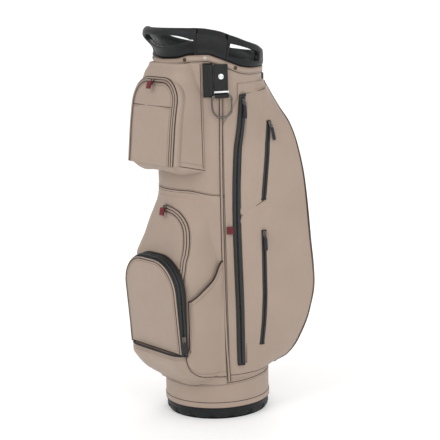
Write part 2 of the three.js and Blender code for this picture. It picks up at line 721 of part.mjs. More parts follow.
function sideSpot(knot, z, rise, facing) {
  const a = radians(facing);
  return onSide(knot, z).add(new THREE.Vector3(rise * Math.sin(a), -rise * Math.cos(a), 0));
}
const SIDE_ZIPS = [
  { name: 'main', knot: 1, z: 752, rise: 6, facing: 86, tilt: 1 },
  { name: 'high', knot: 2.35, z: 694, rise: 3.4, facing: 88, tilt: 17 },
  { name: 'low', knot: 2, z: 446, rise: 3.4, facing: 74, tilt: 3 },
];
SIDE_ZIPS.forEach(({ name, knot, z, rise, facing, tilt }) => {
  const spot = sideSpot(knot, z, rise, facing);
  const across = new THREE.Vector3(-spot.x, spot.y, spot.z);
  addZipPull(`${name}_right`, spot, facing, tilt, DARK, PULL_W, PULL_L);
  addZipPull(`${name}_left`, across, -facing, tilt, DARK, PULL_W, PULL_L);
});

// ---------------------------------------------------------------- towel ring
const blockPad = wall({
  angles: span(47, 56.6, 3), rows: 2, low: () => 768, high: () => 832,
  inner: () => outsideWall(CLEAR_R, 4), outer: (a, z) => 134 + 3 * Math.sin(((z - 768) / 64) * Math.PI),
});
addMesh('towel_block', blockPad, DARK);

const ringFrame = wallFrame(onTube(RING_ANGLE, RING_R, RING_Z), RING_ANGLE);
const tabStrap = block(-16, 16, 5, 62, -7, -4.5);
const tabFold = block(-16, 16, -5, 6, -7, 5.5);
const tabEye = rod(RING_WIRE + 0.35, 60, 16);
tabEye.rotateZ(Math.PI / 2);
addMesh('towel_tab', cut(join(tabStrap, tabFold), tabEye), DARK, ringFrame);
addMesh('towel_bar', block(-17.5, 17.5, 6.5, 11.5, -4.2, -1), SILVER, ringFrame);

const emblemGeometry = rod(6.5, 2, 24);
emblemGeometry.rotateX(Math.PI / 2);
const emblem = addMesh('emblem_disc', emblemGeometry, SILVER, ringFrame);
emblem.position.set(0, 44, -3.2);

// The ring's wire starts above the gate, crosses the tab's eye and comes round to the gate's foot.
const wireStops = [
  [22.5, -12], [22.5, -5], [19.5, -0.8], [16.5, 0], [0, 0], [-16.5, 0], [-19.5, -0.8], [-22.5, -5],
  [-23, -22], [-20, -36], [-11, -46], [0, -49], [11, -46], [19, -40.5], [22.5, -36.5], [22.5, -34],
];

// A round wire bent through the stops, mitred at each bend.
function bentWire(stops, radius, sides) {
  const points = stops.map(([x, y]) => new THREE.Vector3(x, y, 0));
  const rings = points.map((p, i) => {
    const before = points[Math.max(i - 1, 0)];
    const after = points[Math.min(i + 1, points.length - 1)];
    const into = p.clone().sub(before);
    const outOf = after.clone().sub(p);
    const along = into.normalize().add(outOf.normalize()).normalize();
    const side = new THREE.Vector3(along.y, -along.x, 0);
    return Array.from({ length: sides }, (_, k) => {
      const turn = (k / sides) * 2 * Math.PI;
      const point = p.clone().addScaledVector(side, radius * Math.cos(turn));
      point.z += radius * Math.sin(turn);
      return point;
    });
  });
  return loft(rings);
}
addMesh('towel_ring', bentWire(wireStops, RING_WIRE, 12), GUNMETAL, ringFrame);
addMesh('ring_gate', block(20.7, 24.3, -33.4, -12.6, -1.8, 1.8), GUNMETAL, ringFrame);

// ------------------------------------------------------------ rear fittings
addMesh('rear_spine', wall({
  angles: span(166, 194, 6), rows: 1, low: () => 104, high: () => 792,
  inner: () => outsideWall(CLEAR_R, 4.7), outer: () => 131,
}), TAN);

const umbrellaAxis = onTube(UMBRELLA_ANGLE, UMBRELLA_R, 0);
function umbrellaCone(profile) {
  const cone = new THREE.LatheGeometry(profile.map(([r, z]) => new THREE.Vector2(r, z)), 24);
  cone.rotateX(Math.PI / 2);
  return cone.translate(umbrellaAxis.x, umbrellaAxis.y, 0);
}
const umbrellaFlange = wall({
  angles: span(UMBRELLA_ANGLE - 4, UMBRELLA_ANGLE + 4, 2), low: () => 104, high: () => 160,
  inner: () => outsideWall(CLEAR_R, 4), outer: () => 136,
});
addMesh('umbrella_cup', cut(
  join(umbrellaCone([[0, 99], [6, 99], [10, 108], [15, 165], [0, 165]]), umbrellaFlange),
  umbrellaCone([[0, 105], [7.4, 105], [12.8, 167], [0, 167]]),
), PLASTIC);

// The upper umbrella loop is a flat elastic band that lies against the tube.
const loopBand = (from, to, low, high, inner, outer) => wall({
  angles: span(from, to, 4), low: () => low, high: () => high, inner: () => inner, outer: () => outer,
});
addMesh('umbrella_loop', cut(
  loopBand(LOOP_ANGLE - 9, LOOP_ANGLE + 9, 772, 806, outsideWall(CLEAR_R, 4.5), 132.4),
  loopBand(LOOP_ANGLE - 6.5, LOOP_ANGLE + 6.5, 770, 808, 127.6, 130.4),
), DARK);

export default group;
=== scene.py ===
"""Golf cart bag: the visible model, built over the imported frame.

Shapes are worked out in millimetres in the frame's own axes (+Z up, -Y to the
front) and turned into metres as each mesh is made. Angles go round the tube in
degrees from the front towards +X.
"""
import bpy
import json
import math
import numpy as np
from mathutils import Matrix, Vector


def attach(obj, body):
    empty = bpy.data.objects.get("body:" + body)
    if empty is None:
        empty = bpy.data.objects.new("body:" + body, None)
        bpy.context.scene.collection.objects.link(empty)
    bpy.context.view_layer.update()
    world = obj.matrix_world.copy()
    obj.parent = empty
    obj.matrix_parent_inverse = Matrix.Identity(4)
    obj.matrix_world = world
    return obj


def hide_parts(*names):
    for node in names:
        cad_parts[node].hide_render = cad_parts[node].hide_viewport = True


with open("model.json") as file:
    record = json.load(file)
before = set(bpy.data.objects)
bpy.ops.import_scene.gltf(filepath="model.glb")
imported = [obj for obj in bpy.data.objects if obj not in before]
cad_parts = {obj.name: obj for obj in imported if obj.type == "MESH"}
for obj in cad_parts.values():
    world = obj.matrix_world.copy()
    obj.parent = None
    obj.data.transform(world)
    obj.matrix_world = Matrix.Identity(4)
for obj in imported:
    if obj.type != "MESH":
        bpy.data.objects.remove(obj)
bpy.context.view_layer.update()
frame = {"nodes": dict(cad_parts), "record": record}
MM = 0.001
UP = np.array([0.0, 0.0, 1.0])
FORWARD = np.array([0.0, -1.0, 0.0])
LEVEL = np.array([1.0, 1.0, 0.0])

# ---------------------------------------------------------------- dimensions
TUBE_R = 125.0
CUFF_IN_R = 119.0
GRIP_FROM, GRIP_TO = 37.2, 73.2
SIDE_SLOT_FROM, SIDE_SLOT_TO = 74.5, 119.0
RIM_FLARE, FOOT_TUCK, FLARE_FROM, FLARE_TO = 25.0, 6.0, 45.0, 128.0
WAIST_Z = 549.0
BALL_FACE_Y, BALL_BACK_Y = 190.0, 168.2
BALL_HALF, BALL_LOW, BALL_HIGH, BALL_CORNER = 99.0, 178.0, 395.0, 75.0
UPPER_FACE_Y, UPPER_HALF, UPPER_LOW, UPPER_HIGH = 171.0, 74.0, 614.0, 799.0
DOOR_CORNER, DOOR_SEAM_Z, UPPER_TOP = 45.0, 748.0, 842.0
FRONT_TO, UPPER_TO = 62.0, 45.6
SKIRT_TOP, WELL_FLOOR = 173.4, 815.0
SIDE_FOOT, SIDE_HEAD = 103.0, 793.0
TOWEL_ANGLE, TOWEL_Z = 65.0, 768.0
SPINE_FOOT, SPINE_PITCH, SPINE_HEAD = 104.0, 57.4, 792.0
UMBRELLA_ANGLE, UMBRELLA_R, BAND_ANGLE = 149.0, 140.0, 155.0

CUFF_LOW = [
    (0, 853), (18, 854.6), (35, 862), (51, 862.5), (62, 854.7),
    (75, 842.8), (90, 831), (104, 827), (135, 826), (180, 824)]
RIM_TOP = [(0, 922), (41, 922), (57, 917), (77, 903), (94, 889), (117, 876), (135, 866), (180, 857)]
SKIRT = [
    (88, 128, 74, 7), (100, 141, 89, 7), (115, 160, 101, 7), (140, 180, 109, 7), (158, 189, 111, 7),
    (173.4, 189, 110, 7)]
FRONT = [
    (174, 167.5, 107, 9), (300, 167.5, 109, 9), (390, 166, 106, 9), (412, 160, 103, 7.5),
    (430, 155, 100, 6), (455, 148, 97, 5), (480, 141, 97, 4), (500, 135.5, 99, 3.2),
    (520, 130.6, 102, 2.6), (552, 127.4, 105, 2.2), (590, 127.4, 110, 2.2)]
UPPER = [
    (590, 178, 90.5, 12), (640, 174, 91, 14), (667, 171, 91, 14), (700, 167.5, 91.5, 14),
    (730, 163, 91.5, 14), (750, 159.5, 91.5, 12), (771, 155, 90, 10), (792, 152, 85, 7),
    (800, 150.5, 83, 6), (820, 144.5, 80, 6), (842, 133, 74, 6)]
SIDE = [
    (104, 126.5, -24, 127, 22, 93.5, 83), (112, 127, -25, 131, 26, 99.5, 101),
    (130, 128, -26, 137, 26, 122.5, 121), (168, 129, -27, 145, 23, 147, 135),
    (245, 132, -28, 161, 20, 182, 142.5), (320, 136, -32, 171, 16, 198, 145),
    (430, 135, -33, 169, 18, 192.5, 140), (560, 131, -28, 159, 30, 180, 136.5),
    (640, 130.5, -22, 150, 42, 164, 130.5), (690, 130, -12, 138, 50, 144, 125),
    (730, 129, -6, 130, 58, 114, 117), (770, 127.5, -2, 119, 68, 91, 107),
    (792, 126.8, 0, 110, 70, 82.5, 101)]
PIPING = [(92, 65), (190, 63.4), (287, 62.6), (407, 62.4), (525, 62.6), (642, 63.4), (772, 64.6)]


# ------------------------------------------------------------------- helpers
def curve(rows, column=1):
    """A smooth curve through rows of (x, value, ...), held level past both ends."""
    xs = np.array([r[0] for r in rows], float)
    vs = np.array([r[column] for r in rows], float)
    steps = np.diff(vs) / np.diff(xs)
    slopes = np.zeros(len(xs))
    for i in range(1, len(xs) - 1):
        a, b = steps[i - 1], steps[i]
        slopes[i] = 2 * a * b / (a + b) if a * b > 0 else 0.0

    def at(x):
        x = np.clip(np.asarray(x, float), xs[0], xs[-1])
        i = np.clip(np.searchsorted(xs, x, side="right") - 1, 0, len(xs) - 2)
        h = xs[i + 1] - xs[i]
        t = (x - xs[i]) / h
        rise = t * t * (3 - 2 * t)
        return (vs[i] + (vs[i + 1] - vs[i]) * rise + t * (1 - t) ** 2 * h * slopes[i]
                + t * t * (t - 1) * h * slopes[i + 1])
    return at


def turn_from_front(angle):
    turn = np.mod(angle, 360.0)
    return np.where(turn > 180, 360 - turn, turn)


def smoothstep(x, a, b):
    """Rises smoothly from 0 at a to 1 at b."""
    t = np.clip((x - a) / (b - a), 0, 1)
    return t * t * (3 - 2 * t)


def stacked(*coordinates):
    """Points from their coordinates, any of which may be a single value."""
    return np.stack(np.broadcast_arrays(*coordinates), axis=-1)


def on_tube(angle, radius, z):
    a = np.radians(angle)
    return stacked(radius * np.sin(a), -radius * np.cos(a), z)


def box_radius(angle, depth, half, power):
    """Radius at an angle of a rounded box outline, depth forward and half to each side."""
    a = np.radians(angle)
    across = np.abs(np.sin(a)) / half
    forward = np.maximum(np.cos(a), 1e-6) / depth
    return (across ** power + forward ** power) ** (-1 / power)


_cuff_low, _rim_top = curve(CUFF_LOW), curve(RIM_TOP)
piping_angle = curve(PIPING)


def cuff_low(angle):
    return _cuff_low(turn_from_front(angle))


def rim_top(angle):
    return _rim_top(turn_from_front(angle))


def waist_z(angle):
    return WAIST_Z - 12 * smoothstep(turn_from_front(angle), 26, 60)


def band_z(angle):
    return 92 - 7 * np.cos(np.radians(angle))


def unit(v):
    length = np.linalg.norm(v, axis=-1, keepdims=True)
    return v / np.maximum(length, 1e-9)


def away(points):
    """Level unit vectors that point away from the tube's axis."""
    return unit(points * LEVEL)


def rounded_turn(turn, power):
    """Cosine and sine of turn, bent so that a circle becomes a rounded square."""
    c, s = np.cos(turn), np.sin(turn)
    return np.sign(c) * np.abs(c) ** power, np.sign(s) * np.abs(s) ** power


def grid_normals(points, closed=False):
    """Normals of a grid of points, pointing away from the tube's axis."""
    if closed:
        wrapped = np.concatenate([points[-1:], points, points[:1]])
        du = np.gradient(wrapped, axis=0)[1:-1]
    else:
        du = np.gradient(points, axis=0)
    dv = np.gradient(points, axis=1)
    normals = unit(np.cross(du, dv))
    if np.sum(normals * points * LEVEL) < 0:
        normals = -normals
    return normals


def resample(path, step, closed=False):
    """The same path with points about step apart; extra columns are carried along."""
    path = np.asarray(path, float)
    if closed:
        path = np.concatenate([path, path[:1]])
    run = np.concatenate([[0], np.cumsum(np.linalg.norm(np.diff(path, axis=0), axis=1))])
    count = max(int(round(run[-1] / step)), 2)
    at = np.linspace(0, run[-1], count + 1)
    if closed:
        at = at[:-1]
    return np.stack([np.interp(at, run, path[:, k]) for k in range(path.shape[1])], axis=1)


def through(stops, knots):
    """Points of a smooth path through stops, by knot number from 0."""
    stops = np.asarray(stops, float)
    padded = np.concatenate([[2 * stops[0] - stops[1]], stops, [2 * stops[-1] - stops[-2]]])
    knots = np.clip(np.asarray(knots, float), 0, len(stops) - 1)
    i = np.minimum(knots.astype(int), len(stops) - 2)
    t = (knots - i)[:, None]
    p0, p1, p2, p3 = (padded[i + k] for k in range(4))
    return 0.5 * (2 * p1 + (p2 - p0) * t + (2 * p0 - 5 * p1 + 4 * p2 - p3) * t ** 2
                  + (3 * p1 - p0 - 3 * p2 + p3) * t ** 3)


def spline(stops, per_span):
    spans = len(stops) - 1
    return through(stops, np.linspace(0, spans, spans * per_span + 1))


def distance_to(points, path):
    """Distance from every grid point to the nearest point of a path."""
    path = resample(path, 1.5)
    flat = points.reshape(-1, 3).astype(np.float32)
    best = np.full(len(flat), 1e9, np.float32)
    low, high = path.min(0) - 30, path.max(0) + 30
    near = np.where(np.all((flat > low) & (flat < high), axis=1))[0]
    for start in range(0, len(near), 4000):
        pick = near[start:start + 4000]
        gap = flat[pick][:, None, :] - path[None].astype(np.float32)
        best[pick] = np.sqrt((gap ** 2).sum(-1).min(1))
    return best.reshape(points.shape[:-1])


def ripple(points, scale, seed):
    """Soft repeatable waves of about the given length, between -1 and 1."""
    made = np.random.default_rng(seed)
    total = np.zeros(points.shape[:-1])
    for _ in range(6):
        direction = unit(made.normal(size=3))
        total += np.sin(points @ direction * (2 * math.pi / scale) * made.uniform(0.6, 1.5)
                        + made.uniform(0, 6.28))
    return total / 6


# ---------------------------------------------------------------- mesh making
def link(obj):
    bpy.context.scene.collection.objects.link(obj)
    return obj


def make_object(name, points, faces, materials, face_material=None, smooth=True):
    mesh = bpy.data.meshes.new(name)
    mesh.from_pydata((np.asarray(points) * MM).tolist(), [], [list(map(int, f)) for f in faces])
    for material in materials if isinstance(materials, (list, tuple)) else [materials]:
        mesh.materials.append(material)
    if face_material is not None:
        mesh.polygons.foreach_set("material_index", np.asarray(face_material, np.int32))
    mesh.polygons.foreach_set("use_smooth", np.full(len(mesh.polygons), smooth))
    mesh.update()
    return link(bpy.data.objects.new(name, mesh))


def grid_faces(nu, nv, closed_u=False, closed_v=False, offset=0):
    us = np.arange(nu if closed_u else nu - 1)
    vs = np.arange(nv if closed_v else nv - 1)
    u, v = np.meshgrid(us, vs, indexing="ij")
    u2, v2 = (u + 1) % nu, (v + 1) % nv
    faces = np.stack([u * nv + v, u2 * nv + v, u2 * nv + v2, u * nv + v2], axis=-1)
    return faces.reshape(-1, 4) + offset


def tube_faces(rings, around, closed=False):
    """Faces of a tube made of rings of points, capped unless it closes on itself."""
    faces = grid_faces(rings, around, closed, True).tolist()
    if not closed:
        faces.append(list(range(around))[::-1])
        faces.append(list(range((rings - 1) * around, rings * around)))
    return faces


def facing_out(points, faces, away_from=None):
    """Turns all the faces round if most of them look at the tube's axis."""
    corners = points[faces[:, :3]]
    normals = np.cross(corners[:, 1] - corners[:, 0], corners[:, 2] - corners[:, 0])
    middle = corners.mean(1)
    outward = middle * LEVEL if away_from is None else middle - away_from
    return faces[:, ::-1] if np.sum(normals * outward) < 0 else faces


def grid_object(name, points, material, closed_u=False, keep=None, away_from=None):
    nu, nv = points.shape[:2]
    flat = points.reshape(-1, 3)
    faces = grid_faces(nu, nv, closed_u)
    if keep is not None:
        faces = faces[keep(flat[faces].mean(1))]
    return make_object(name, flat, facing_out(flat, faces, away_from), material)


def shell_object(name, outer, inner, material):
    """A closed wall between two grids of points of one shape."""
    nu, nv = outer.shape[:2]
    flat = np.concatenate([outer.reshape(-1, 3), inner.reshape(-1, 3)])
    front = grid_faces(nu, nv)
    back = grid_faces(nu, nv, offset=nu * nv)[:, ::-1]
    index = np.arange(nu * nv).reshape(nu, nv)
    rim = np.concatenate([index[:-1, 0], index[-1, :-1], index[:0:-1, -1], index[0, :0:-1]])
    after = np.roll(rim, -1)
    sides = np.stack([rim, rim + nu * nv, after + nu * nv, after], axis=1)
    faces = np.concatenate([front, back, sides])
    corners = flat[faces]
    volume = np.einsum("ij,ij->i", corners[:, 0], np.cross(corners[:, 1], corners[:, 2])).sum()
    volume += np.einsum("ij,ij->i", corners[:, 0], np.cross(corners[:, 2], corners[:, 3])).sum()
    return make_object(name, flat, faces if volume > 0 else faces[:, ::-1], material)


def swept(path, sections, closed=False, normals=None):
    """Rings of a 2-D section carried along a path; the section's x lies across, y out."""
    path = np.asarray(path, float)
    if closed:
        ahead, behind = np.roll(path, -1, 0), np.roll(path, 1, 0)
    else:
        ahead = np.concatenate([path[1:], path[-1:]])
        behind = np.concatenate([path[:1], path[:-1]])
    along = unit(ahead - behind)
    if normals is None:
        normals = away(path)
    out = unit(normals - along * np.sum(normals * along, axis=1, keepdims=True))
    across = np.cross(along, out)
    sections = np.asarray(sections, float)
    if sections.ndim == 2:
        sections = np.repeat(sections[None], len(path), axis=0)
    return (path[:, None] + across[:, None] * sections[..., 0:1] + out[:, None] * sections[..., 1:2])


def tube_data(path, radius, sides=8, closed=False, normals=None, taper=None):
    turn = np.linspace(0, 2 * math.pi, sides, endpoint=False)
    section = np.stack([np.cos(turn), np.sin(turn)], axis=1)
    radii = np.full(len(path), radius) if taper is None else taper
    rings = swept(path, section[None] * np.asarray(radii)[:, None, None], closed, normals)
    return rings.reshape(-1, 3), [face[::-1] for face in tube_faces(len(path), sides, closed)]


def join_data(parts):
    """One mesh's points and faces from several."""
    points, faces, offset = [], [], 0
    for part_points, part_faces in parts:
        points.append(part_points)
        faces.extend([[i + offset for i in f] for f in part_faces])
        offset += len(part_points)
    return np.concatenate(points), faces


def rounded_wall(name, angles, low, high, inner, outer, material, power=5, around=28, closed=False,
                 slope=0.0):
    """A wall round the tube whose cross-section is a rounded rectangle."""
    turn = np.linspace(0, 2 * math.pi, around, endpoint=False)
    cx, cz = rounded_turn(turn, 2 / power)
    grid_angle = np.asarray(angles, float)[:, None]
    zl, zh = low(grid_angle), high(grid_angle)
    z = (zl + zh) / 2 + (zh - zl) / 2 * cz[None]
    ri, ro = inner(grid_angle, z), outer(grid_angle, z)
    radius = (ri + ro) / 2 + (ro - ri) / 2 * cx[None]
    points = on_tube(grid_angle, radius, z - slope * (radius - (ri + ro) / 2))
    return make_object(name, points.reshape(-1, 3), tube_faces(len(angles), around, closed), material)


def lathe_object(name, profile, centre, material, sides=96, axis=None):
    """A surface turned about an upright axis, or about the given axis."""
    profile = np.asarray(profile, float)
    turn = np.linspace(0, 2 * math.pi, sides, endpoint=False)
    ring = np.stack([np.cos(turn), np.sin(turn), np.zeros(sides)], axis=1)
    points = ring[:, None] * profile[None, :, 0:1]
    points[..., 2] = profile[None, :, 1]
    if axis is not None:
        spin = np.array(Vector((0, 0, 1)).rotation_difference(Vector(axis)).to_matrix())
        points = points @ spin.T
    points = points + np.asarray(centre, float)
    return make_object(name, points.reshape(-1, 3), grid_faces(sides, len(profile), True), material)


def rounded_block(size, radius, centre=(0, 0, 0), segments=3):
    """Points and faces of a block with rounded edges."""
    import bmesh
    bm = bmesh.new()
    bmesh.ops.create_cube(bm, size=1.0)
    for v in bm.verts:
        v.co = Vector((v.co.x * size[0], v.co.y * size[1], v.co.z * size[2]))
    bmesh.ops.bevel(bm, geom=bm.edges[:], offset=radius, segments=segments, affect="EDGES", profile=0.5)
    points = np.array([v.co[:] for v in bm.verts]) + np.asarray(centre, float)
    faces = [[v.index for v in f.verts] for f in bm.faces]
    bm.free()
    return points, faces


def wall_matrix(point, facing, tilt=0.0):
    """x runs along the wall, y up it and z out of it; tilt leans it back."""
    a, t = math.radians(facing), math.radians(tilt)
    level = np.array([math.sin(a), -math.cos(a), 0.0])
    along = np.array([math.cos(a), math.sin(a), 0.0])
    rise = np.array([0.0, 0.0, 1.0])
    up = rise * math.cos(t) - level * math.sin(t)
    out = rise * math.sin(t) + level * math.cos(t)
    return np.column_stack([along, up, out]), np.asarray(point, float)


def placed(data, matrix):
    points, faces = data
    turn, shift = matrix
    return points @ turn.T + shift, faces


def mirrored(name, obj):
    """A copy on the other side of the bag."""
    mesh = obj.data.copy()
    mesh.name = name
    mesh.transform(Matrix.Scale(-1, 4, (1, 0, 0)))
    mesh.flip_normals()
    return link(bpy.data.objects.new(name, mesh))


def stitch_data(path, normals=None, pitch=4.2, length=2.9, radius=0.42, lift=0.35):
    """Raised thread stitches along a path on a surface, facing away from the tube by default."""
    normals = away(path) if normals is None else normals
    spots = resample(np.concatenate([path, np.broadcast_to(normals, path.shape)], axis=1), pitch)
    at, out = spots[:, :3], unit(spots[:, 3:])
    along = unit(np.gradient(at, axis=0))
    out = unit(out - along * np.sum(out * along, axis=1, keepdims=True))
    across = np.cross(along, out)
    ends = np.array([-0.5, -0.32, 0.32, 0.5])
    sizes = np.array([0.35, 1.0, 1.0, 0.35])
    square = np.array([(1, 0), (0, 1), (-1, 0), (0, -1)], float)
    points = (at[:, None, None] + along[:, None, None] * (ends[:, None] * length)[None, :, :, None]
              + across[:, None, None] * (sizes[:, None] * square[None, :, 0] * radius)[None, :, :, None]
              + out[:, None, None] * (sizes[:, None] * square[None, :, 1] * radius * 0.8 + lift)[None, :, :, None])
    base = grid_faces(4, 4, False, True)[:, ::-1]
    caps = np.array([[0, 1, 2, 3], [15, 14, 13, 12]])
    one = np.concatenate([base, caps])
    offsets = np.arange(len(at)) * 16
    faces = (one[None] + offsets[:, None, None]).reshape(-1, 4)
    return points.reshape(-1, 3), faces.tolist()


# ------------------------------------------------------------------ materials
class Look:
    """A material whose patterns are laid out in each piece's own coordinates."""

    def __init__(self, name, colour, roughness, metallic=0.0):
        self.material = bpy.data.materials.new(name)
        self.material.use_nodes = True
        self.tree, self.roughness = self.material.node_tree, roughness
        self.shader = self.tree.nodes["Principled BSDF"]
        self.set({"Base Color": (*colour, 1), "Roughness": roughness, "Metallic": metallic})
        self.coords = self.tree.nodes.new("ShaderNodeTexCoord").outputs["Object"]

    def set(self, constants):
        for socket, value in constants.items():
            self.shader.inputs[socket].default_value = value
        return self.material

    def node(self, kind, constants, feeds, output, **settings):
        """Adds a node, sets its constants, feeds its inputs and gives its output."""
        made = self.tree.nodes.new("ShaderNode" + kind)
        for key, value in settings.items():
            setattr(made, key, value)
        for socket, value in constants.items():
            made.inputs[socket].default_value = value
        for socket, source in feeds.items():
            self.tree.links.new(source, made.inputs[socket])
        return made.outputs[output]

    def noise(self, scale, detail=3.0):
        constants = {"Scale": scale, "Detail": detail, "Roughness": 0.55}
        return self.node("TexNoise", constants, {"Vector": self.coords}, "Fac")

    def cells(self, scale):
        return self.node("TexVoronoi", {"Scale": scale}, {"Vector": self.coords}, "Distance", feature="F1")

    def maths(self, operation, a, b=None, factor=None):
        feeds = {0: a} if b is None else {0: a, 1: b}
        return self.node("Math", {} if factor is None else {1: factor}, feeds, 0, operation=operation)

    def tint(self, value, dark, light):
        ramp = self.tree.nodes.new("ShaderNodeValToRGB")
        for element, position, colour in zip(ramp.color_ramp.elements, (0.25, 0.75), (dark, light)):
            element.position, element.color = position, (*colour, 1)
        self.tree.links.new(value, ramp.inputs["Fac"])
        self.tree.links.new(ramp.outputs["Color"], self.shader.inputs["Base Color"])

    def vary_gloss(self, value, less, more):
        constants = {"From Min": 0.3, "From Max": 0.7,
                     "To Min": self.roughness - less, "To Max": self.roughness + more}
        spread = self.node("MapRange", constants, {"Value": value}, "Result")
        self.tree.links.new(spread, self.shader.inputs["Roughness"])

    def bump(self, *layers):
        """Layers are (height, strength, distance in metres), stacked."""
        feeds = {}
        for value, strength, distance in layers:
            feeds["Height"] = value
            feeds["Normal"] = self.node("Bump", {"Strength": strength, "Distance": distance}, feeds, "Normal")
        self.tree.links.new(feeds["Normal"], self.shader.inputs["Normal"])


def scaled(colour, factor):
    return tuple(c * factor for c in colour)


def leather(name, colour, roughness=0.6, grain=900.0, depth=0.00016, spread=0.1, sheen=0.0):
    """Pebbled synthetic leather: fine cells, broad colour drift and worn gloss."""
    look = Look(name, colour, roughness)
    look.tint(look.noise(9.0, 4.0), scaled(colour, 1 - spread), scaled(colour, 1 + spread))
    look.vary_gloss(look.noise(60.0), 0.07, 0.08)
    look.bump((look.noise(38.0, 2.0), 0.25, 0.0008), (look.cells(grain), 0.42, depth),
              (look.noise(grain * 1.7, 2.0), 0.25, depth * 0.6))
    return look.set({"Sheen Weight": sheen, "Specular IOR Level": 0.34})


def moulded(name, colour, roughness=0.42, grain=1500.0):
    """Moulded plastic or rubber with a fine spark-eroded grain."""
    look = Look(name, colour, roughness)
    look.tint(look.noise(25.0), scaled(colour, 0.85), scaled(colour, 1.2))
    look.vary_gloss(look.noise(90.0), 0.06, 0.1)
    look.bump((look.noise(grain, 2.0), 0.3, 0.00015), (look.cells(grain * 0.6), 0.3, 0.00012))
    return look.set({"Specular IOR Level": 0.25})


def woven(name, colour, pitch=0.0011, roughness=0.85, depth=0.0002, spread=0.12, sheen=0.2):
    """Cloth or tape with crossing threads."""
    look = Look(name, colour, roughness)
    look.tint(look.noise(30.0), scaled(colour, 1 - spread), scaled(colour, 1 + spread))
    split = look.tree.nodes.new("ShaderNodeSeparateXYZ")
    look.tree.links.new(look.coords, split.inputs["Vector"])
    level = look.maths("ADD", split.outputs["X"], split.outputs["Y"])
    across, along = (look.maths("SINE", look.maths("MULTIPLY", value, factor=2 * math.pi / pitch))
                     for value in (level, split.outputs["Z"]))
    look.bump((look.maths("MULTIPLY", across, along), 0.4, depth), (look.noise(1400.0), 0.3, depth))
    return look.set({"Sheen Weight": sheen})


def metal(name, colour, roughness, streak=(40.0, 40.0, 900.0)):
    """Brushed metal."""
    look = Look(name, colour, roughness, 1.0)
    stretch = look.node("Mapping", {"Scale": streak}, {"Vector": look.coords}, "Vector")
    brushed = look.node("TexNoise", {"Scale": 1.0, "Detail": 4.0}, {"Vector": stretch}, "Fac")
    look.tint(look.noise(120.0), scaled(colour, 0.86), scaled(colour, 1.1))
    look.vary_gloss(brushed, 0.08, 0.12)
    look.bump((brushed, 0.15, 0.00005))
    return look.material


TAN_COLOUR = (0.362, 0.279, 0.224)
TAN = leather("tan_leather", TAN_COLOUR, 0.58, 1000.0, 0.00013, 0.05, 0.05)
TAN_EDGE = leather("tan_edge", scaled(TAN_COLOUR, 0.93), 0.6, 1100.0, 0.0001, 0.05)
BLACK = leather("black_leather", (0.009, 0.0095, 0.0102), 0.5, 900.0, 0.0002, 0.15)
RED = leather("red_leather", (0.13, 0.007, 0.010), 0.42, 1200.0, 0.0001, 0.15)
SEAM = woven("dark_piping", (0.045, 0.026, 0.018), 0.0009, 0.75, 0.0001, 0.1, 0.0)
THREAD = woven("brown_thread", (0.16, 0.105, 0.078), 0.0005, 0.8, 0.00005, 0.1, 0.1)
THREAD_BLACK = woven("black_thread", (0.02, 0.02, 0.022), 0.0005, 0.8, 0.00005, 0.1, 0.1)
PLASTIC = moulded("moulded_plastic", (0.009, 0.010, 0.011), 0.44)
GRIPPY = moulded("textured_plastic", (0.014, 0.015, 0.016), 0.52, 700.0)
RUBBER = moulded("sole_rubber", (0.009, 0.009, 0.010), 0.75, 600.0)
PULLER = moulded("puller_rubber", (0.022, 0.021, 0.027), 0.36, 1800.0)
TAPE = woven("zip_tape_black", (0.013, 0.014, 0.015), 0.0013, 0.55, 0.00012, 0.12, 0.0)
TEETH = moulded("zip_teeth", (0.012, 0.013, 0.013), 0.3, 2500.0)
TEETH_BROWN = moulded("zip_teeth_brown", (0.075, 0.050, 0.038), 0.38, 2500.0)
LINING = woven("lining_cloth", (0.016, 0.017, 0.018), 0.0012, 0.9, 0.0002, 0.2, 0.15)
VELOUR = woven("divider_velour", (0.024, 0.025, 0.027), 0.0009, 0.95, 0.0002, 0.2, 0.5)
SILVER = metal("brushed_silver", (0.78, 0.79, 0.80), 0.28)
NICKEL = metal("dark_nickel", (0.16, 0.145, 0.13), 0.32)
SNAP = metal("snap_bronze", (0.10, 0.07, 0.055), 0.4)
SNAP_LIGHT = metal("snap_pale", (0.55, 0.50, 0.44), 0.38)

SLOT_LOOKS = {
    "tan_leather": TAN, "black_leather": BLACK, "moulded_black": PLASTIC, "rubber_sole": RUBBER,
    "lining": VELOUR, "zip_tape_black": TAPE, "zip_tape_tan": TAN_EDGE, "red_leather": RED,
    "silver": SILVER, "gunmetal": NICKEL}
for part in frame["record"]["subparts"]:
    for holder in frame["nodes"][part["node"]].material_slots:
        holder.material = SLOT_LOOKS[part["material_slot"]]


def finish(obj, body, slot, *nodes):
    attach(obj, body)
    if nodes:
        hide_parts(*nodes)
    return obj


def both_sides(obj, slot, nodes=()):
    """Rides a right-hand piece on the bag and adds its left-hand copy."""
    other = mirrored(obj.name.replace("_right", "_left"), obj)
    finish(obj, "bag", slot, *nodes)
    finish(other, "bag", slot, *[n.replace("_right", "_left") for n in nodes])
    return obj, other


def add(name, parts, look, slot="tan_leather", nodes=(), body="bag"):
    """One piece made of several parts."""
    return finish(make_object(name, *join_data(parts), look), body, slot, *nodes)


def add_pair(name, parts, look, slot="tan_leather", nodes=()):
    """One piece on each side of the bag, from the right-hand one's parts."""
    return both_sides(make_object(name + "_right", *join_data(parts), look), slot, nodes)


# ------------------------------------------------------------- camera, stage
VIEW_ANGLE, VIEW_DISTANCE, VIEW_HEIGHT = 52.0, 3.45, 1.10
VIEW_DROP, VIEW_ROLL, VIEW_SHIFT = 10.545, 1.697, 0.0180
VIEW_LENS = 119.85


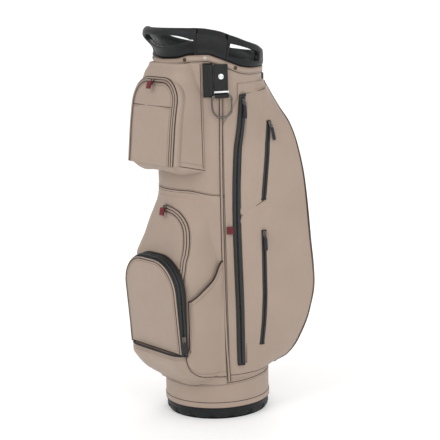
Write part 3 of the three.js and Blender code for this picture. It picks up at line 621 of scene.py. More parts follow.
def add_camera():
    a, p, r = (math.radians(v) for v in (VIEW_ANGLE, VIEW_DROP, VIEW_ROLL))
    right = Vector((math.cos(a), math.sin(a), 0))
    ahead = Vector((-math.sin(a) * math.cos(p), math.cos(a) * math.cos(p), -math.sin(p)))
    up = right.cross(ahead)
    place = Vector((VIEW_DISTANCE * math.sin(a), -VIEW_DISTANCE * math.cos(a), VIEW_HEIGHT))
    place += right * VIEW_SHIFT
    across = right * math.cos(r) - up * math.sin(r)
    upward = right * math.sin(r) + up * math.cos(r)
    data = bpy.data.cameras.new("camera")
    data.lens = VIEW_LENS
    data.sensor_width = 36.0
    camera = bpy.data.objects.new("camera", data)
    turn = Matrix((across, upward, -ahead)).transposed()
    camera.matrix_world = Matrix.Translation(place) @ turn.to_4x4()
    bpy.context.scene.camera = link(camera)


def add_area(name, place, target, size, power):
    data = bpy.data.lights.new(name, "AREA")
    data.shape = "RECTANGLE"
    data.size, data.size_y = size
    data.energy = power
    lamp = bpy.data.objects.new(name, data)
    lamp.location = place
    lamp.rotation_euler = (Vector(target) - Vector(place)).to_track_quat("-Z", "Y").to_euler()
    link(lamp)


def add_stage():
    look = Look("stage_floor", (0.93, 0.93, 0.93), 0.9)
    look.tint(look.noise(0.6, 1.0), (0.925, 0.925, 0.925), (0.935, 0.935, 0.935))
    look.set({"Specular IOR Level": 0.1, "Emission Color": (1, 1, 1, 1), "Emission Strength": 0.16})
    reach, bend, wall_top = 6000.0, 900.0, 5200.0
    turn = np.linspace(0, math.pi / 2, 16)
    a = math.radians(VIEW_ANGLE)
    ahead = np.array([-math.sin(a), math.cos(a), 0.0])
    right = np.array([math.cos(a), math.sin(a), 0.0])
    runs = np.concatenate([[-reach], 2400 + bend * np.sin(turn), [2400 + bend]])
    heights = np.concatenate([[0.0], bend * (1 - np.cos(turn)), [wall_top]])
    line = ahead[None] * runs[:, None] + np.array([0, 0, 1.0])[None] * heights[:, None]
    points = np.stack([line - right * reach, line + right * reach])
    faces = grid_faces(2, len(runs))
    floor = make_object("stage_sweep", points.reshape(-1, 3), faces, look.material)
    world = bpy.data.worlds.new("studio")
    world.use_nodes = True
    world.node_tree.nodes["Background"].inputs["Color"].default_value = (1, 1, 1, 1)
    world.node_tree.nodes["Background"].inputs["Strength"].default_value = 0.66
    bpy.context.scene.world = world
    add_area("key", (0.3, -3.3, 3.0), (0, 0, 0.5), (2.2, 2.2), 44)
    add_area("fill", (3.4, -0.9, 2.2), (0, 0, 0.5), (2.6, 2.6), 36)
    add_area("rim", (-1.6, 2.6, 2.8), (0, 0, 0.6), (2.0, 2.0), 28)
    add_area("side", (2.6, 2.4, 1.6), (0, 0, 0.45), (1.4, 2.4), 9)
    bpy.context.scene.view_settings.view_transform = "Standard"


add_camera()
add_stage()


# ------------------------------------------------------------------- the base
def build_base():
    profile = [
        (0, 3.4), (60, 3.4), (116, 3.4), (119.5, 3.9), (121.6, 5.6), (122.6, 8.0), (123, 11), (123, 16),
        (122.2, 17.2), (122.2, 18.4), (123, 19.6), (123, 25), (122.6, 26.8), (121.6, 27.9),
        (117.4, 27.9), (117.2, 20), (117, 9), (116, 8.3), (60, 8.3), (0, 8.3)]
    profile = np.array(profile, float)
    angles = np.linspace(0, 360, 288, endpoint=False)
    points = on_tube(angles[:, None], profile[None, :, 0], profile[None, :, 1])
    notch = np.abs(np.mod(angles + 11.25, 22.5) - 11.25)
    depth = 3.2 * (1 - smoothstep(notch, 2.4, 3.4))[:, None]
    low = (profile[None, :, 1] < 12) & (profile[None, :, 0] > 118) & (profile[None, :, 1] > 3.5)
    radial = away(points)
    points = points - radial * (depth * low)[..., None]
    cup = grid_object("base_shell", points, PLASTIC, closed_u=True, away_from=np.array([0, 0, 6.0]))
    finish(cup, "bag", "moulded_black", "base_cup")
    tread = [(0, 3.0), (117.2, 3.0), (118, 2.2), (118, 0.8), (117.4, 0.1), (100, 0.0), (98.6, 1.2),
             (92, 1.2), (90.6, 0.0), (66, 0.0), (64.6, 1.2), (58, 1.2), (56.6, 0), (0, 0.0)]
    sole = lathe_object("base_tread", tread, (0, 0, 0), RUBBER, 192)
    finish(sole, "bag", "rubber_sole", "base_sole")
    turn = np.linspace(0, 360, 240, endpoint=False)
    rolled = rounded_wall(
        "foot_roll", turn, lambda a: 28.2, lambda a: 41.4, lambda a, z: 122.4,
        lambda a, z: 126.2 + 0.25 * ripple(on_tube(a, 125, z), 60, 3), TAN, 3.2, 24, True)
    finish(rolled, "bag", "black_leather", "lower_trim")
    lines = [tube_data(on_tube(turn, radius, z), thick, 8, True)
             for z, radius, thick in ((28.4, 125.2, 0.8), (41.6, 125.3, 0.7))]
    add("foot_seam_lines", lines, SEAM, "black_leather")


# ------------------------------------------------------------- the tube skin
def skin_radius(angle, z):
    points = on_tube(angle, TUBE_R, z)
    radius = TUBE_R + 0.35 * ripple(points, 95, 5) + 0.15 * ripple(points, 28, 6)
    radius = radius - 1.5 * np.exp(-((z - waist_z(angle)) / 1.6) ** 2)
    radius = radius + 0.6 * np.exp(-((z - waist_z(angle) - 5) / 3.5) ** 2)
    radius = radius - 1.4 * np.exp(-((z - band_z(angle)) / 1.5) ** 2)
    radius = radius + 0.8 * np.exp(-((z - band_z(angle) - 4) / 3.0) ** 2)
    return radius


def build_skin():
    angles = np.linspace(0, 360, 300, endpoint=False)[:, None]
    t = np.concatenate([np.linspace(0, 0.1, 40, endpoint=False), np.linspace(0.1, 0.6, 60, endpoint=False),
                        np.linspace(0.6, 0.66, 30, endpoint=False), np.linspace(0.66, 1, 40)])[None]
    top = cuff_low(angles) - 12
    z = 42 + (top - 42) * t
    skin = grid_object("tube_skin", on_tube(angles, skin_radius(angles, z), z), TAN, closed_u=True)
    finish(skin, "bag", "tan_leather", "lower_skin", "upper_skin", "lower_band")

    turn = np.linspace(0, 360, 300, endpoint=False)
    lines = [tube_data(on_tube(turn, TUBE_R - 0.35, band_z(turn)), 0.7, 8, True)]
    front = np.linspace(-66, 66, 120)
    lines.append(tube_data(on_tube(front, TUBE_R + 0.1, waist_z(front)), 0.9, 8))
    lines.append(tube_data(on_tube(front, TUBE_R + 0.3, waist_z(front) - 4.5), 0.6, 8))
    for half in (np.linspace(144, 165, 12), np.linspace(195, 216, 12)):
        lines.append(tube_data(on_tube(half, TUBE_R - 0.2, WAIST_Z - 12), 0.8, 8))
    add("tube_seam_lines", lines, SEAM)

    rows = []
    for shift in (4.0, -4.0):
        path = on_tube(turn, TUBE_R + 0.2, band_z(turn) + shift)
        rows.append(stitch_data(path))
    path = on_tube(front, TUBE_R + 0.6, waist_z(front) + 4.0)
    rows.append(stitch_data(path))
    add("tube_stitches", rows, THREAD)


def build_piping():
    """The folded seam with two dark cords that runs up the tube in front of each side pocket."""
    z = np.linspace(93, 828, 260)
    angle = piping_angle(z)
    across = np.linspace(-1, 1, 13)
    fold = 1.6 * (1 - np.abs(across) ** 3)
    grid_angle = angle[:, None] + across[None] * 1.9
    points = on_tube(grid_angle, TUBE_R + 1.6 + fold[None], z[:, None])
    welt = grid_object("seam_fold_right", points, TAN_EDGE)
    both_sides(welt, "tan_leather")
    cords = []
    for side in (-1, 1):
        path = on_tube(angle + side * 1.35, TUBE_R + 2.6, z)
        cords.append(tube_data(path, 0.95, 8))
    add_pair("seam_cords", cords, SEAM)
    path = on_tube(angle + 3.0, TUBE_R + 1.6, z)
    row = stitch_data(path)
    add_pair("seam_stitches", [row], THREAD)


def build_collar():
    turn = np.linspace(0, 360, 300, endpoint=False)
    collar = rounded_wall(
        "collar_roll", turn, lambda a: cuff_low(a) - 15.2, lambda a: cuff_low(a) - 0.4,
        lambda a, z: 122.4, lambda a, z: 128.2 + 0.3 * ripple(on_tube(a, 125, z), 50, 8),
        TAN, 4.0, 28, True)
    finish(collar, "bag", "tan_leather", "collar_trim")
    lines = [tube_data(on_tube(turn, 127.4, cuff_low(turn) - 0.5), 1.0, 8, True),
             tube_data(on_tube(turn, 126.4, cuff_low(turn) - 15.4), 0.8, 8, True)]
    add("collar_seam_lines", lines, SEAM)
    rows = []
    for drop in (3.4, 12.4):
        path = on_tube(turn, 128.0, cuff_low(turn) - drop)
        rows.append(stitch_data(path))
    add("collar_stitches", rows, THREAD)
    dome = [(0, 2.3), (1.6, 2.2), (2.6, 1.7), (3.0, 1.1), (3.9, 1.1), (4.5, 0.7), (4.6, 0.0), (4.6, -2)]
    for index, angle in enumerate((28.3, 49.6, 81.5)):
        look = SNAP_LIGHT if index == 1 else SNAP
        for side, tag in ((1, "right"), (-1, "left")):
            out = on_tube(side * angle, 1.0, 0.0)
            place = on_tube(side * angle, 127.9, float(cuff_low(angle)) - 8.0)
            stud = lathe_object(f"snap_{index + 1}_{tag}", dome, place, look, 24, out)
            finish(stud, "bag", "gunmetal")


# --------------------------------------------------------- cuff and handles
def slot_middle(turn):
    return 874 - 25 * (turn - 76) / 42


def front_slot(turn):
    """Lower and upper edge of the finger slot under the front handle."""
    t = turn / GRIP_FROM
    return 880 + 14 * t ** 1.5, 911 - 12 * t ** 4


def side_slot(turn):
    middle = slot_middle(turn)
    low, high = middle - 17 + 6.5 * ((turn - 76) / 42) ** 2, middle + 10.5
    closing = np.clip(1 - np.clip((turn - 100) / (SIDE_SLOT_TO - 100), 0, 1) ** 7, 0, 1) ** 0.5
    return (low + high) / 2 - (high - low) / 2 * closing, (low + high) / 2 + (high - low) / 2 * closing


def cuff_split(angle, upper):
    """Height where the lower ring ends (upper=0) or the handle ring starts (upper=1)."""
    turn = turn_from_front(angle)
    front = front_slot(np.minimum(turn, GRIP_FROM))[upper]
    side = side_slot(np.clip(turn, SIDE_SLOT_FROM, SIDE_SLOT_TO))[upper]
    return front + (side - front) * smoothstep(turn, GRIP_FROM, GRIP_TO)


def flare(angle, z):
    """How far the cuff leans out: tucked in at its foot and out at its rim, most at the front."""
    fade = 1 - smoothstep(turn_from_front(angle), FLARE_FROM, FLARE_TO)
    low, high = cuff_low(angle), rim_top(angle)
    return fade * (RIM_FLARE * smoothstep((z - low) / (high - low), 0.1, 0.8) - FOOT_TUCK)


def cuff_inner(angle, z):
    return CUFF_IN_R + np.maximum(flare(angle, z), 0)


def build_cuff():
    turn = np.linspace(0, 360, 360, endpoint=False)

    def ring_high(angle):
        split = cuff_split(angle, 0)
        rear = smoothstep(turn_from_front(angle), SIDE_SLOT_TO - 0.5, SIDE_SLOT_TO + 0.8)
        return split + (rim_top(angle) - split) * rear

    ring = rounded_wall(
        "cuff_ring", turn, lambda a: cuff_low(a) + 0.1, ring_high, cuff_inner,
        lambda a, z: 130.6 + flare(a, z) - 2.2 * np.exp(-((z - cuff_low(a)) / 3.0) ** 2), PLASTIC, 3.6, 36, True)
    finish(ring, "bag", "moulded_black", "top_cuff")

    def bar(name, angles, nodes, slope=0.0):
        piece = rounded_wall(
            name, angles, lambda a: cuff_split(a, 1), rim_top,
            lambda a, z: 118.2 + flare(a, z), lambda a, z: 131.2 + flare(a, z), GRIPPY, 2.9, 36,
            slope=slope)
        return finish(piece, "bag", "moulded_black", *nodes)

    bar("front_rail", np.linspace(-GRIP_FROM - 6, GRIP_FROM + 6, 120), ["front_handle"], 0.7)
    bar("side_rail_right", np.linspace(GRIP_TO - 2, SIDE_SLOT_TO + 1.5, 80), ["side_handle_right"])
    bar("side_rail_left", -np.linspace(GRIP_TO - 2, SIDE_SLOT_TO + 1.5, 80)[::-1], ["side_handle_left"])

    dots = []
    for row, drop in enumerate((4.0, 7.6, 11.2)):
        for angle in np.arange(79 + row % 2, 116, 2.0):
            z = float(rim_top(angle)) - drop
            out = on_tube(angle, 1.0, 0.0)
            place = on_tube(angle, 131.1 + float(flare(angle, z)) - 0.35 * max(0, 6 - drop), z)
            bead = tube_data(np.stack([place - out * 0.8, place + out * 0.2, place + out * 0.5]), 0.9, 8,
                             normals=UP, taper=np.array([1.0, 0.9, 0.3]))
            dots.append(bead)
    add_pair("side_rail_dots", dots, PLASTIC, "moulded_black")


def grip_shift(angle, z):
    """The wraps' front edges slope towards the side as they rise."""
    rise = np.clip((z - 862) / 60, 0, 1)
    return (2.2 + 1.8 * rise) * np.clip((GRIP_TO - angle) / (GRIP_TO - GRIP_FROM), 0, 1)


def build_grips():
    """Padded wraps over the cuff's posts, with a corded edge on each side."""
    count, rows = 90, 60
    angle = np.linspace(GRIP_FROM - 0.4, GRIP_TO + 0.2, count)
    turn = np.linspace(0, 2 * math.pi, rows, endpoint=False)
    across = np.linspace(-1, 1, count)
    swell = (1 - np.abs(across) ** 6)
    power = 5.5
    cx, cz = rounded_turn(turn, 2 / power)
    low, high = cuff_low(angle) + 0.4, rim_top(angle) + 1.0
    z = (low + high)[:, None] / 2 + (high - low)[:, None] / 2 * cz[None]
    lean = flare(angle[:, None], z)
    outer = 132.0 + 2.4 * swell[:, None] - 2.6 * ((z - 890) / 40) ** 2 + lean
    outer = outer - 1.4 * np.exp(-((np.abs(across) - 0.86) / 0.03) ** 2)[:, None]
    outer = outer - 11.0 * smoothstep(z - high[:, None], -20, 0)
    inner = 117.6 + np.maximum(lean, 0)
    radius = (inner + outer) / 2 + (outer - inner) / 2 * cx[None]
    angle = angle[:, None] + grip_shift(angle[:, None], z)
    points = on_tube(angle, radius, z)
    points += away(points) * (0.5 * ripple(points, 34, 12))[..., None]
    wrap = make_object("grip_pad_right", points.reshape(-1, 3), tube_faces(count, rows), BLACK)
    for piece in both_sides(wrap, "black_leather", ["grip_wrap_right"]):
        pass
    cords, seams = [], []
    for edge, inset in ((GRIP_FROM + 0.4, 3.4), (GRIP_TO - 0.6, -3.4)):
        height = np.linspace(float(cuff_low(edge)) + 1, float(rim_top(edge)), 40)
        reach = 131.4 - 2.6 * ((height - 890) / 40) ** 2 + flare(edge, height)
        reach = reach - 10.0 * smoothstep(height, float(rim_top(edge)) - 18, float(rim_top(edge)) + 1)
        turned = edge + grip_shift(edge, height)
        cords.append(tube_data(on_tube(turned, reach, height), 2.6, 12))
        path = on_tube(turned[2:-2] + inset, reach[2:-2] + 1.8, height[2:-2])
        seams.append(stitch_data(path, None, 4.4, 3.0, 0.5, 0.2))
    add_pair("grip_cords", cords, BLACK, "black_leather")
    add_pair("grip_stitches", seams, THREAD_BLACK, "black_leather")


def build_wells():
    """Crinkled lining inside the cuff and padded rolls along the divider walls."""
    angles = np.linspace(0, 360, 360, endpoint=False)[:, None]
    turn = turn_from_front(angles)
    beside = smoothstep(turn, 66, 74) * (1 - smoothstep(turn, SIDE_SLOT_TO - 2, SIDE_SLOT_TO + 4))
    rim = np.where(turn > SIDE_SLOT_TO, rim_top(angles) - 5, cuff_split(angles, 0) - 3)
    beside_slot = slot_middle(turn) + np.where(angles > 180, 16.0, 0.5) + 1.5 * np.sin(np.radians(angles * 9))
    rim = rim + (beside_slot - rim) * beside
    z = WELL_FLOOR + (rim - WELL_FLOOR) * np.linspace(0, 1, 60)[None]
    points = on_tube(angles, 118.2, z)
    folds = 0.9 * ripple(points * np.array([1.0, 1.0, 0.45]), 17, 21) + 0.5 * ripple(points, 8, 22)
    radius = CUFF_IN_R - 1.8 + np.maximum(flare(angles, z), 0) + folds
    lining = grid_object("cuff_lining", on_tube(angles, radius, z), LINING, closed_u=True)
    finish(lining, "bag", "lining")

    def top(y):
        return 843 - 0.215 * y

    rolls = []
    for y in (-62.0, 0.0, 60.0):
        reach = math.sqrt(116.0 ** 2 - y * y) - 1
        x = np.linspace(-reach, reach, 60)
        rolls.append(tube_data(stacked(x, y, top(y) + 2.0), 4.2, 14, normals=UP))
    spans = [(-56, -59.7, -2), (0, -59.7, -2), (56, -59.7, -2), (-56, 2.4, 58), (0, 2.4, 58), (56, 2.4, 58),
             (-34, -110.5, -64), (34, -110.5, -64), (-34, 62, 110.5), (34, 62, 110.5)]
    for x, y0, y1 in spans:
        y = np.linspace(y0, y1, 24)
        rolls.append(tube_data(stacked(x, y, top(y) + 1.6), 3.6, 14, normals=UP))
    add("divider_rolls", rolls, VELOUR, "lining")


# ------------------------------------------------------------ zips and pulls
def zip_run(name, path, normals, width, lip_look, teeth_look, gap=2.6, lip_height=1.1, teeth=True):
    """Two folded lips with a row of teeth between them."""
    path = resample(np.concatenate([path, normals], axis=1), 2.0)
    at, out = path[:, :3], unit(path[:, 3:])
    half = width / 2
    h = lip_height
    lip = np.array([(gap / 2, 0.1), (gap / 2 + 0.15, h * 0.9), (gap / 2 + 0.9, h * 1.25), (half * 0.6, h),
                    (half - 0.8, h * 0.8), (half, h * 0.3), (half, 0.0)])
    parts, looks = [], []
    for side in (-1, 1):
        section = lip * np.array([side, 1.0])
        rings = swept(at, section, False, out)
        flat = rings.reshape(-1, 3)
        faces = grid_faces(len(at), len(lip))
        parts.append((flat, (faces if side > 0 else faces[:, ::-1]).tolist()))
        looks += [0] * len(faces)
    bed = swept(at, np.array([(-gap / 2 - 0.4, 0.15), (0, 0.3), (gap / 2 + 0.4, 0.15)]), False, out)
    faces = grid_faces(len(at), 3)
    parts.append((bed.reshape(-1, 3), faces.tolist()))
    looks += [1] * len(faces)
    if teeth:
        spots = resample(np.concatenate([at, out], axis=1), 1.7)
        along = unit(np.gradient(spots[:, :3], axis=0))
        normal = unit(spots[:, 3:])
        across = np.cross(along, normal)
        corners = np.array([(x, y, z) for x in (-0.5, 0.5) for y in (-1, 1) for z in (0, 1)], float)
        hexa = np.array([(0, 1, 3, 2), (4, 6, 7, 5), (0, 4, 5, 1), (2, 3, 7, 6), (0, 2, 6, 4), (1, 5, 7, 3)])
        shift = np.where(np.arange(len(spots)) % 2 == 0, 0.35, -0.35)[:, None]
        tooth = (spots[:, None, :3] + along[:, None] * (corners[:, 0:1] * 1.05)[None]
                 + across[:, None] * (corners[:, 1:2][None] * gap * 0.36 + shift[..., None])
                 + normal[:, None] * (corners[:, 2:3] * 0.9 + 0.2)[None])
        cubes = (hexa[None] + (np.arange(len(spots)) * 8)[:, None, None]).reshape(-1, 4)
        parts.append((tooth.reshape(-1, 3), cubes.tolist()))
        looks += [1] * len(cubes)
    points, faces = join_data(parts)
    return make_object(name, points, faces, [lip_look, teeth_look], looks)


def slider_data():
    """A zip slider's body, its bridge and the wire eye that holds the pull."""
    body = rounded_block((8.4, 12.4, 3.6), 1.2, (0, 0, 2.3))
    nose = rounded_block((6.0, 5.0, 2.8), 1.0, (0, 4.6, 3.2))
    turn = np.linspace(-0.15, math.pi + 0.15, 22)
    bridge_path = stacked(0.0, 1.0 - 4.6 * np.cos(turn), 4.0 + 3.0 * np.sin(turn))
    bridge = tube_data(bridge_path, 1.0, 10, normals=np.array([1.0, 0, 0]))
    return [body, nose, bridge]


def pull_data(width, length, thick, grooves):
    """A pull with a round eye at its top; it hangs from the origin down -Y."""
    turn = np.linspace(0, 2 * math.pi, 28, endpoint=False)
    eye_path = stacked(2.6 * np.sin(turn), -1.6 + 3.4 * np.cos(turn), 0.0)
    eye = tube_data(eye_path, 0.75, 8, True, UP)
    steps = np.linspace(0, 1, 46)
    half = width / 2 * np.clip(1 - (2 * steps - 1) ** 10, 0, 1) ** 0.5 * (0.86 + 0.14 * steps)
    depth = thick / 2 * np.clip(1 - (2 * steps - 1) ** 12, 0, 1) ** 0.5
    depth = depth * (1 - grooves * 0.22 * (np.sin(steps * 46) > 0.2) * (np.abs(steps - 0.62) < 0.26))
    around = np.linspace(0, 2 * math.pi, 20, endpoint=False)
    cx, cy = rounded_turn(around, 0.6)
    y = -4.2 - (length - 4.4) * steps
    points = stacked(half[:, None] * cx, y[:, None], depth[:, None] * cy)
    return eye, (points.reshape(-1, 3), tube_faces(len(steps), len(around)))


def loop_data():
    """A folded leather loop that hangs from the pull's eye and hides the front of the slider."""
    turn = np.linspace(0, math.pi, 10)
    top = stacked(1.8 + 2.4 * np.sin(turn), 2.4 * np.cos(turn))
    line = np.concatenate([[(-14.6, 1.4), (-12, 1.7), (-6, 2.2)], top, [(-6, -1.2), (-12, -0.9), (-14.6, -0.9)]])
    line[:, 1] += 0.6
    widths = np.linspace(-8.4, 8.4, 16)
    squash = np.clip(1 - (np.abs(widths) / 8.5) ** 14, 0, 1) ** 0.4
    points = np.stack([stacked(w, line[:, 0], line[:, 1] * q + 0.5 * (1 - q)) for w, q in zip(widths, squash)])
    return points.reshape(-1, 3), tube_faces(len(widths), len(line))


PIVOT_DROP, PIVOT_OUT = 4.0, 6.2


def add_zip_pull(name, point, facing, tilt, look, width, length, thick, grooves, slot):
    matrix = wall_matrix(point, facing, tilt)
    metal_parts = [placed(part, matrix) for part in slider_data()]
    add(f"{name}_slider_metal", metal_parts, NICKEL, "gunmetal", [f"{name}_slider"], f"{name}_slider")
    eye, grip = pull_data(width, length, thick, grooves)
    grip = grip if grooves else loop_data()
    eye, grip = (placed((points + np.array([0, -PIVOT_DROP, PIVOT_OUT]), faces), matrix)
                 for points, faces in (eye, grip))
    add(f"{name}_pull_eye", [eye], NICKEL, "gunmetal", body=f"{name}_pull")
    add(f"{name}_pull_grip", [grip], look, slot, [f"{name}_pull"], f"{name}_pull")


# -------------------------------------------------------- lower front pocket
front_depth, front_half, front_power = (curve(FRONT, k) for k in (1, 2, 3))
skirt_depth, skirt_half = curve(SKIRT, 1), curve(SKIRT, 2)


def front_radius(angle, z):
    """Radius of the lower front body, never inside the tube."""
    radius = box_radius(angle, front_depth(z), front_half(z), front_power(z))
    return np.maximum(radius, 127.0)


def on_front(x, z, out=0.0):
    """A point on the lower front body, x being measured along its wall from the middle."""
    angles = np.linspace(0, FRONT_TO, 500)
    ring = on_tube(angles, front_radius(angles, z), z)
    run = np.concatenate([[0], np.cumsum(np.linalg.norm(np.diff(ring, axis=0), axis=1))])
    angle = np.interp(abs(x), run, angles) * (1 if x >= 0 else -1)
    return on_tube(angle, float(front_radius(angle, z)) + out, z)


def front_normal(x, z):
    a = on_front(x + 2, z) - on_front(x - 2, z)
    b = on_front(x, z + 2) - on_front(x, z - 2)
    n = np.cross(a, b)
    return n / np.linalg.norm(n)


MIDDLE_TOP = 505.0
MIDDLE_ARCH = [
    (87, 346), (92.5, 378), (93.5, 404), (89.5, 425), (84, 444), (78, 460.5), (70, 474), (58, 486),
    (42.5, 496), (22, 502.5)]


def middle_path(inset=0.0):
    """The middle zip's run in x and z, shifted sideways by inset."""
    stops = [(-7, MIDDLE_TOP - 0.2), (0, MIDDLE_TOP)] + MIDDLE_ARCH[::-1]
    flat = spline(stops, 8)
    along = unit(np.gradient(flat, axis=0))
    side = stacked(along[:, 1], -along[:, 0])
    return flat + side * inset


def arch_half(z, half, high, corner):
    """Half width of an arch at height z."""
    above = np.clip((z - (high - corner)) / corner, 0, 1)
    return half - corner + corner * np.sqrt(np.clip(1 - above ** 2, 0, 1))


def arch_path(half, low, high, corner, count=60):
    """An arch outline in x and z from its left foot over the top to its right foot."""
    turn = np.linspace(0, math.pi / 2, count)
    bend = stacked(half - corner + corner * np.cos(turn), high - corner + corner * np.sin(turn))
    leg = stacked(half, np.linspace(low, high - corner, 20, endpoint=False))
    right = np.concatenate([leg, bend])
    left = right * np.array([-1.0, 1.0])
    return np.concatenate([left, right[::-1]])


def build_front_body():
    count = 170
    angles = np.linspace(-FRONT_TO, FRONT_TO, count)[:, None]
    t = np.linspace(0, 1, 190)[None]
    top = waist_z(angles)
    z = 174 + (top - 174) * t
    radius = front_radius(angles, z)
    radius = radius + (125.6 - radius) * smoothstep(z, 500, 549) ** 3 * (top - z < 14)
    points = on_tube(angles, radius, z)
    normals = grid_normals(points)
    arch = np.array([on_front(x, h) for x, h in middle_path()])
    gap = distance_to(points, arch)
    lift = 1.0 * np.exp(-((gap - 11) / 4.0) ** 2) - 1.0 * np.exp(-((gap - 6.5) / 1.8) ** 2)
    lift = lift + 0.7 * ripple(points, 120, 31) + 0.3 * ripple(points, 45, 32)
    edge = smoothstep(FRONT_TO - np.abs(angles), 0, 6) * smoothstep(top - z, 0, 20)
    points = points + normals * (lift * edge)[..., None]

    def open_front(middle):
        hollow = (np.abs(middle[:, 0]) < 85) & (middle[:, 2] > 192) & (middle[:, 2] < 376) & (middle[:, 1] < -150)
        return ~hollow
    body = grid_object("front_pocket_shell", points, TAN, keep=open_front)
    finish(body, "bag", "tan_leather", "front_body")

    depth = np.linspace(0, 1, 12)
    turn = np.linspace(0, 2 * math.pi, 120, endpoint=False)
    cx, cz = rounded_turn(turn, 0.25)
    taper = 1 - 0.03 * depth
    walls = stacked(np.outer(taper, cx * 86.5), -168 + 29.5 * depth[:, None], 284 + np.outer(taper, cz * 92.5))
    floor = np.stack([walls[-1] * np.array([s, 1, 0]) + np.array([0, 0, 284]) * (1 - s)
                      + walls[-1] * np.array([0, 0, s]) for s in np.linspace(0.96, 0.04, 12)])
    cavity = np.concatenate([walls, floor])
    cavity[..., 1] += 0.6 * ripple(cavity, 40, 33)
    lining = make_object("ball_pocket_lining", cavity.reshape(-1, 3), grid_faces(24, 120, False, True), LINING)
    finish(lining, "bag", "lining")


def build_middle_zip():
    flat = middle_path()
    path = np.array([on_front(x, z, 1.0) for x, z in flat])
    normals = np.array([front_normal(x, z) for x, z in flat])
    tape = zip_run("middle_zip", path, normals, 11.0, TAN_EDGE, TEETH_BROWN, 1.8, 1.6)
    finish(tape, "bag", "zip_tape_tan", "middle_zip_tape")
    cords, rows = [], []
    for inset in (-6.3, 6.3):
        line = middle_path(inset)
        at = np.array([on_front(x, z, 0.9) for x, z in line])
        cords.append(tube_data(at, 0.95, 8, normals=normals))
    for inset in (-9.6, 9.6):
        line = middle_path(inset)
        at = np.array([on_front(x, z, 0.6) for x, z in line])
        rows.append(stitch_data(at, normals))
    add("middle_zip_cords", cords, SEAM)
    add("middle_zip_stitches", rows, THREAD)


def build_skirt():
    count = 150
    angles = np.linspace(-FRONT_TO, FRONT_TO, count)
    heights = np.linspace(87, SKIRT_TOP, 50)
    grid_angle, z = np.meshgrid(angles, heights, indexing="ij")
    radius = np.maximum(box_radius(grid_angle, skirt_depth(z), skirt_half(z), 7), 126.6)
    fade = smoothstep(FRONT_TO - np.abs(grid_angle), 0, 8)
    radius = radius + 0.6 * ripple(on_tube(grid_angle, radius, z), 70, 41) * fade
    outside = on_tube(grid_angle, radius, z)
    shelf = []
    inner = np.maximum(box_radius(angles, 160, 102, 7), 125.6)
    for t in np.linspace(0.02, 1, 12):
        reach = radius[:, -1] + (inner - radius[:, -1]) * t
        shelf.append(on_tube(angles, reach, 173.6 + 0.9 * math.sin(math.pi * min(t * 3, 1))))
    points = np.concatenate([outside, np.stack(shelf, axis=1)], axis=1)
    skirt = grid_object("front_skirt_shell", points, TAN)
    finish(skirt, "bag", "tan_leather", "front_skirt")
    rim = np.linspace(-37, 37, 120)
    reach = box_radius(rim, 189, 110, 7)
    add("skirt_welt", [tube_data(on_tube(rim, reach - 1.2, 174.6), 2.6, 12)], BLACK, "black_leather")
    rows = []
    for drop in (5.0, 9.0):
        low = np.maximum(box_radius(rim, float(skirt_depth(SKIRT_TOP - drop)), 110, 7), 126.6)
        rows.append(stitch_data(on_tube(rim, low + 0.5, SKIRT_TOP - drop)))
    add("skirt_stitches", rows, THREAD)


# --------------------------------------------------------------- ball pocket
def ball_lean(z):
    """How far back the ball pocket leans at height z."""
    return 0.08 * (300 - z)


def build_ball_pocket():
    front = arch_path(BALL_HALF + 1, BALL_LOW - 3, BALL_HIGH, BALL_CORNER)
    back = arch_path(BALL_HALF + 9, BALL_LOW - 4, BALL_HIGH + 8, BALL_CORNER + 16)
    y0, y1 = -(BALL_FACE_Y - 3.4), -(BALL_BACK_Y - 0.6)
    near = stacked(front[:, 0], y0 + ball_lean(front[:, 1]), front[:, 1])
    far = stacked(back[:, 0], y1, back[:, 1])
    v = np.linspace(0, 1, 25)
    slope = far - near
    along = unit(np.gradient(near, axis=0))
    out = unit(np.cross(slope, along))
    centre = np.array([0.0, -178.0, 285.0])
    out = out * np.sign(np.sum(out * (near - centre), axis=1, keepdims=True))
    bow = 1.6 * np.sin(np.pi * v)
    middle = near[:, None] + slope[:, None] * v[None, :, None]
    points, inside = middle + out[:, None] * bow[None, :, None], middle - out[:, None] * 1.4
    wall = shell_object("ball_zip_wall", points, inside, TAPE)
    finish(wall, "bag", "zip_tape_black", "ball_gusset")
    middle = near + slope * 0.46 + out * 1.6
    run = zip_run("ball_zip", middle, out, 12.0, TAPE, TEETH, 3.0, 1.3)
    finish(run, "bag", "zip_tape_black")
    ribs, spots = [], resample(np.concatenate([near + out * 1.2, slope, out], axis=1), 3.2)
    for row in spots:
        start, run_to, lift = row[:3], row[3:6], row[6:9]
        for a, b in ((0.06, 0.2), (0.74, 0.93)):
            line = np.stack([start + run_to * s + lift * 0.25 for s in (a, (a + b) / 2, b)])
            ribs.append(tube_data(line, 0.45, 6, normals=lift))
    add("ball_zip_ribs", ribs, TAPE, "zip_tape_black")
    welts = [tube_data(far + out * 0.6, 1.3, 8, normals=out)]
    add("ball_zip_welt", welts, SEAM, "black_leather")
    build_ball_door()


